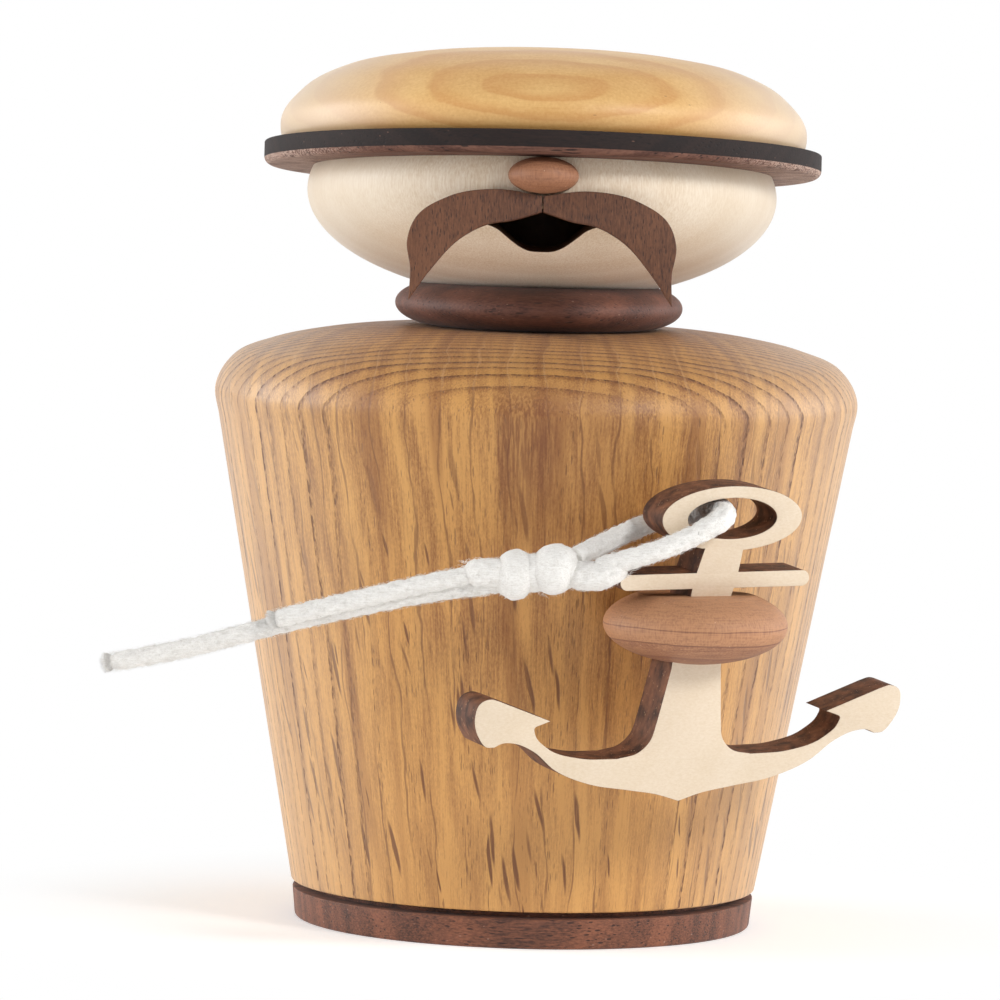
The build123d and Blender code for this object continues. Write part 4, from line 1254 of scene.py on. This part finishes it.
class SMOKER_OT_anchor(bpy.types.Operator):
    """Saws both plates of the anchor"""
    bl_idname, bl_label = "smoker.anchor", "Anchor"

    shank_shares = ((0.15, 0.51), (0.172, 0.632), (0.215, 0.693), (0.315, 0.729))
    arm_top_shares = ((0.315, 0.729), (0.49, 0.717), (0.65, 0.645), (0.712, 0.56), (0.717, 0.525),
                      (0.694, 0.508))
    barb_shares = ((0.694, 0.508), (0.648, 0.486), (0.895, 0.356))
    fluke_shares = ((0.895, 0.356), (0.94, 0.341), (0.985, 0.367), (1.0, 0.45), (0.968, 0.575),
                    (0.93, 0.628), (0.893, 0.632))
    arm_low_shares = ((0.893, 0.632), (0.857, 0.61), (0.796, 0.615), (0.71, 0.665), (0.597, 0.785),
                      (0.432, 0.876), (0.24, 0.923), (0.1, 0.957), (0.0, 1.0))

    def execute(self, context):
        s, t = settings(SmokerSawn), settings(SmokerTurned)
        finishes = [maple_board(), burnt()]
        for name, loops, node in (("anchor_upper", self.upper(s), "anchor_top"),
                                  ("anchor_lower", self.lower(s, t), "anchor_bottom")):
            bm = sawn(loops, s.anchor_thickness, s.edge)
            for face in bm.faces:
                face.material_index = int(abs(face.normal.z) < 0.5)
            piece(name, moved(bm, anchor_place()), finishes, FIGURE, [node])
        return {"FINISHED"}

    def leaned(self, point, shift, level, lean):
        """A point moved sideways by a shift, and by a lean from a level on."""
        across, up = point
        return across + shift + (up - level) * lean, up

    def upper(self, s):
        """Ring, short shank and stock in one outline, and the ring's hole."""
        lean = (s.ring_shift - s.stock_shift) / (s.ring_level - s.stock_level)
        high = s.ring_level - (s.ring_height + s.hole_height) / 4
        low = s.anchor_drop + s.tenon_gap / 2
        half, stock_top = s.stock_height / 2, s.stock_level + s.stock_height / 2

        def shank(side, level):
            end = high if level > s.stock_level else low
            width = s.neck_low + (s.neck_top - s.neck_low) * (level - s.stock_level) / (end - s.stock_level)
            return self.leaned((side * width / 2, level), s.stock_shift, s.stock_level, lean)

        def eye(width, height, step):
            turns = [radians(turn) for turn in range(-90, 270, step)]
            return [(s.ring_shift + width / 2 * cos(turn), s.ring_level + height / 2 * sin(turn))
                    for turn in turns]

        gate = [(x, y) for x, y in eye(s.ring_width, s.ring_height, 2)
                if y > s.ring_level or not shank(-1, y)[0] < x < shank(1, y)[0]]
        first = max(range(len(gate)), key=lambda i: (Vector(gate[i]) - Vector(gate[i - 1])).length)
        gate = gate[first:] + gate[:first]
        tip = s.stock_length / 2 - half
        cap = [radians(turn) for turn in range(90, 271, 15)]
        left = [(s.stock_shift - tip + half * cos(turn), s.stock_level + half * sin(turn)) for turn in cap]
        right = [(s.stock_shift + tip - half * cos(turn), s.stock_level - half * sin(turn)) for turn in cap]
        stock_low = s.stock_level - half
        outline = [*gate, shank(-1, gate[-1][1]), shank(-1, stock_top), *left, shank(-1, stock_low),
                   shank(-1, low), shank(1, low), shank(1, stock_low), *right, shank(1, stock_top),
                   shank(1, gate[0][1])]
        return [outline, eye(s.hole_width, s.hole_height, 3)]

    def lower(self, s, t):
        """Shank, arms, barbs and flukes in one outline."""
        lean = tan(s.shank_lean)
        tenon, root = s.anchor_drop - s.tenon_gap / 2, s.anchor_drop - t.hand_height / 2
        half = s.shank_width / 2

        def flank(side):
            def run(table):
                return [self.leaned(point, s.shank_shift, 0.0, lean)
                        for point in share_points(table, side * s.half_span, -s.depth)]
            line = [self.leaned((side * half, level), s.shank_shift, 0.0, lean) for level in (tenon, root)]
            for table, soft in ((self.shank_shares, True), (self.arm_top_shares, True),
                                (self.barb_shares, False), (self.fluke_shares, True),
                                (self.arm_low_shares, True)):
                points = run(table)
                line += (flow(points, steps=7) if soft else points)[0 if len(line) == 2 else 1:]
            return line

        return [flank(1) + flank(-1)[-2::-1]]


class SMOKER_OT_dowels(bpy.types.Operator):
    """Finishes the dowels and the neck tube of the frame"""
    bl_idname, bl_label = "smoker.dowels", "Dowels and neck tube"

    def execute(self, context):
        finish = beech()
        for node in ("neck_tube", "cap_dowel", "hand_dowel"):
            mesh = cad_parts[node].data
            mesh.materials.clear()
            mesh.materials.append(finish)
        return {"FINISHED"}


class SMOKER_OT_stage(bpy.types.Operator):
    """Lays the floor and sets the lamps and the white surround"""
    bl_idname, bl_label = "smoker.stage", "Stage"

    lamps = (("right_front", (0.62, -0.66, 0.58), 0.26, 5.2), ("left_front", (-0.85, -0.45, 0.30), 0.8, 1.2),
             ("right_side", (0.95, 0.15, 0.25), 0.9, 5.7), ("left_side", (-0.95, 0.08, 0.25), 0.9, 8.4))
    aim, shadow_reach = (0, 0, 0.06), (36.0, 80.0)

    def execute(self, context):
        s = settings(SmokerStage)
        f = Finish("floor")
        away = f.node("VectorMath", {0: f.spot()}, output="Value", operation="LENGTH")
        paper = f.node("BsdfDiffuse", {"Color": s.floor_tone})
        glow = f.node("Emission", {"Color": WHITE, "Strength": s.floor_glow})
        plain = f.node("AddShader", {0: paper, 1: glow})
        white = f.node("Emission", {"Color": WHITE, "Strength": 1.0})
        seen = f.node("LightPath", output="Is Camera Ray")
        fade = f.step(away, *self.shadow_reach) * seen
        surface = f.node("MixShader", {0: fade, 1: plain, 2: white})
        f.node("OutputMaterial", {"Surface": surface})
        bm = bmesh.new()
        bmesh.ops.create_grid(bm, x_segments=1, y_segments=1, size=s.floor / 2)
        mesh = bpy.data.meshes.new("floor")
        bm.to_mesh(mesh)
        bm.free()
        mesh.materials.append(f.material)
        placed("floor", mesh)
        context.scene.world = bpy.data.worlds.new("surround")
        f = Finish("surround", context.scene.world)
        seen, mirrored = (f.node("LightPath", output=ray) for ray in ("Is Camera Ray", "Is Glossy Ray"))
        level = f.node("MapRange", {"Value": seen.sum("MAXIMUM", seen, mirrored),
                                    "To Min": s.surround_light, "To Max": 1.0})
        back = f.node("Background", {"Strength": level, "Color": WHITE})
        f.node("OutputWorld", {"Surface": back})
        for name, place, size, power in self.lamps:
            data = bpy.data.lights.new(name, "AREA")
            data.shape, data.size, data.energy = "DISK", size, power
            aim = (Vector(self.aim) - Vector(place)).to_track_quat("-Z", "Y")
            placed(name, data).matrix_world = Matrix.Translation(place) @ aim.to_matrix().to_4x4()
        context.scene.view_settings.view_transform = "Standard"
        return {"FINISHED"}


STEPS = (SMOKER_OT_camera, SMOKER_OT_cords, SMOKER_OT_foot, SMOKER_OT_coat, SMOKER_OT_collar, SMOKER_OT_head,
         SMOKER_OT_moustache, SMOKER_OT_cap, SMOKER_OT_hand, SMOKER_OT_anchor, SMOKER_OT_dowels,
         SMOKER_OT_stage)


class SMOKER_PT_panel(bpy.types.Panel):
    bl_idname, bl_label = "SMOKER_PT_panel", "Incense Smoker"
    bl_space_type, bl_region_type, bl_category = "VIEW_3D", "UI", "Smoker"

    def draw(self, context):
        for group in GROUPS:
            box = self.layout.box()
            for name in group.__annotations__:
                box.prop(getattr(context.scene, group.__name__.lower()), name)
        for step in STEPS:
            self.layout.operator(step.bl_idname)


def register():
    for kind in (*GROUPS, *STEPS, SMOKER_PT_panel):
        bpy.utils.register_class(kind)
    for group in GROUPS:
        setattr(bpy.types.Scene, group.__name__.lower(), PointerProperty(type=group))


def unregister():
    for group in GROUPS:
        delattr(bpy.types.Scene, group.__name__.lower())
    for kind in (SMOKER_PT_panel, *STEPS[::-1], *GROUPS[::-1]):
        bpy.utils.unregister_class(kind)


def main():
    register()
    bpy.ops.smoker.camera()
    bpy.ops.smoker.cords()
    bpy.ops.smoker.foot()
    bpy.ops.smoker.coat()
    bpy.ops.smoker.collar()
    bpy.ops.smoker.head()
    bpy.ops.smoker.moustache()
    bpy.ops.smoker.cap()
    bpy.ops.smoker.hand()
    bpy.ops.smoker.anchor()
    bpy.ops.smoker.dowels()
    bpy.ops.smoker.stage()


if __name__ == "__main__":
    main()
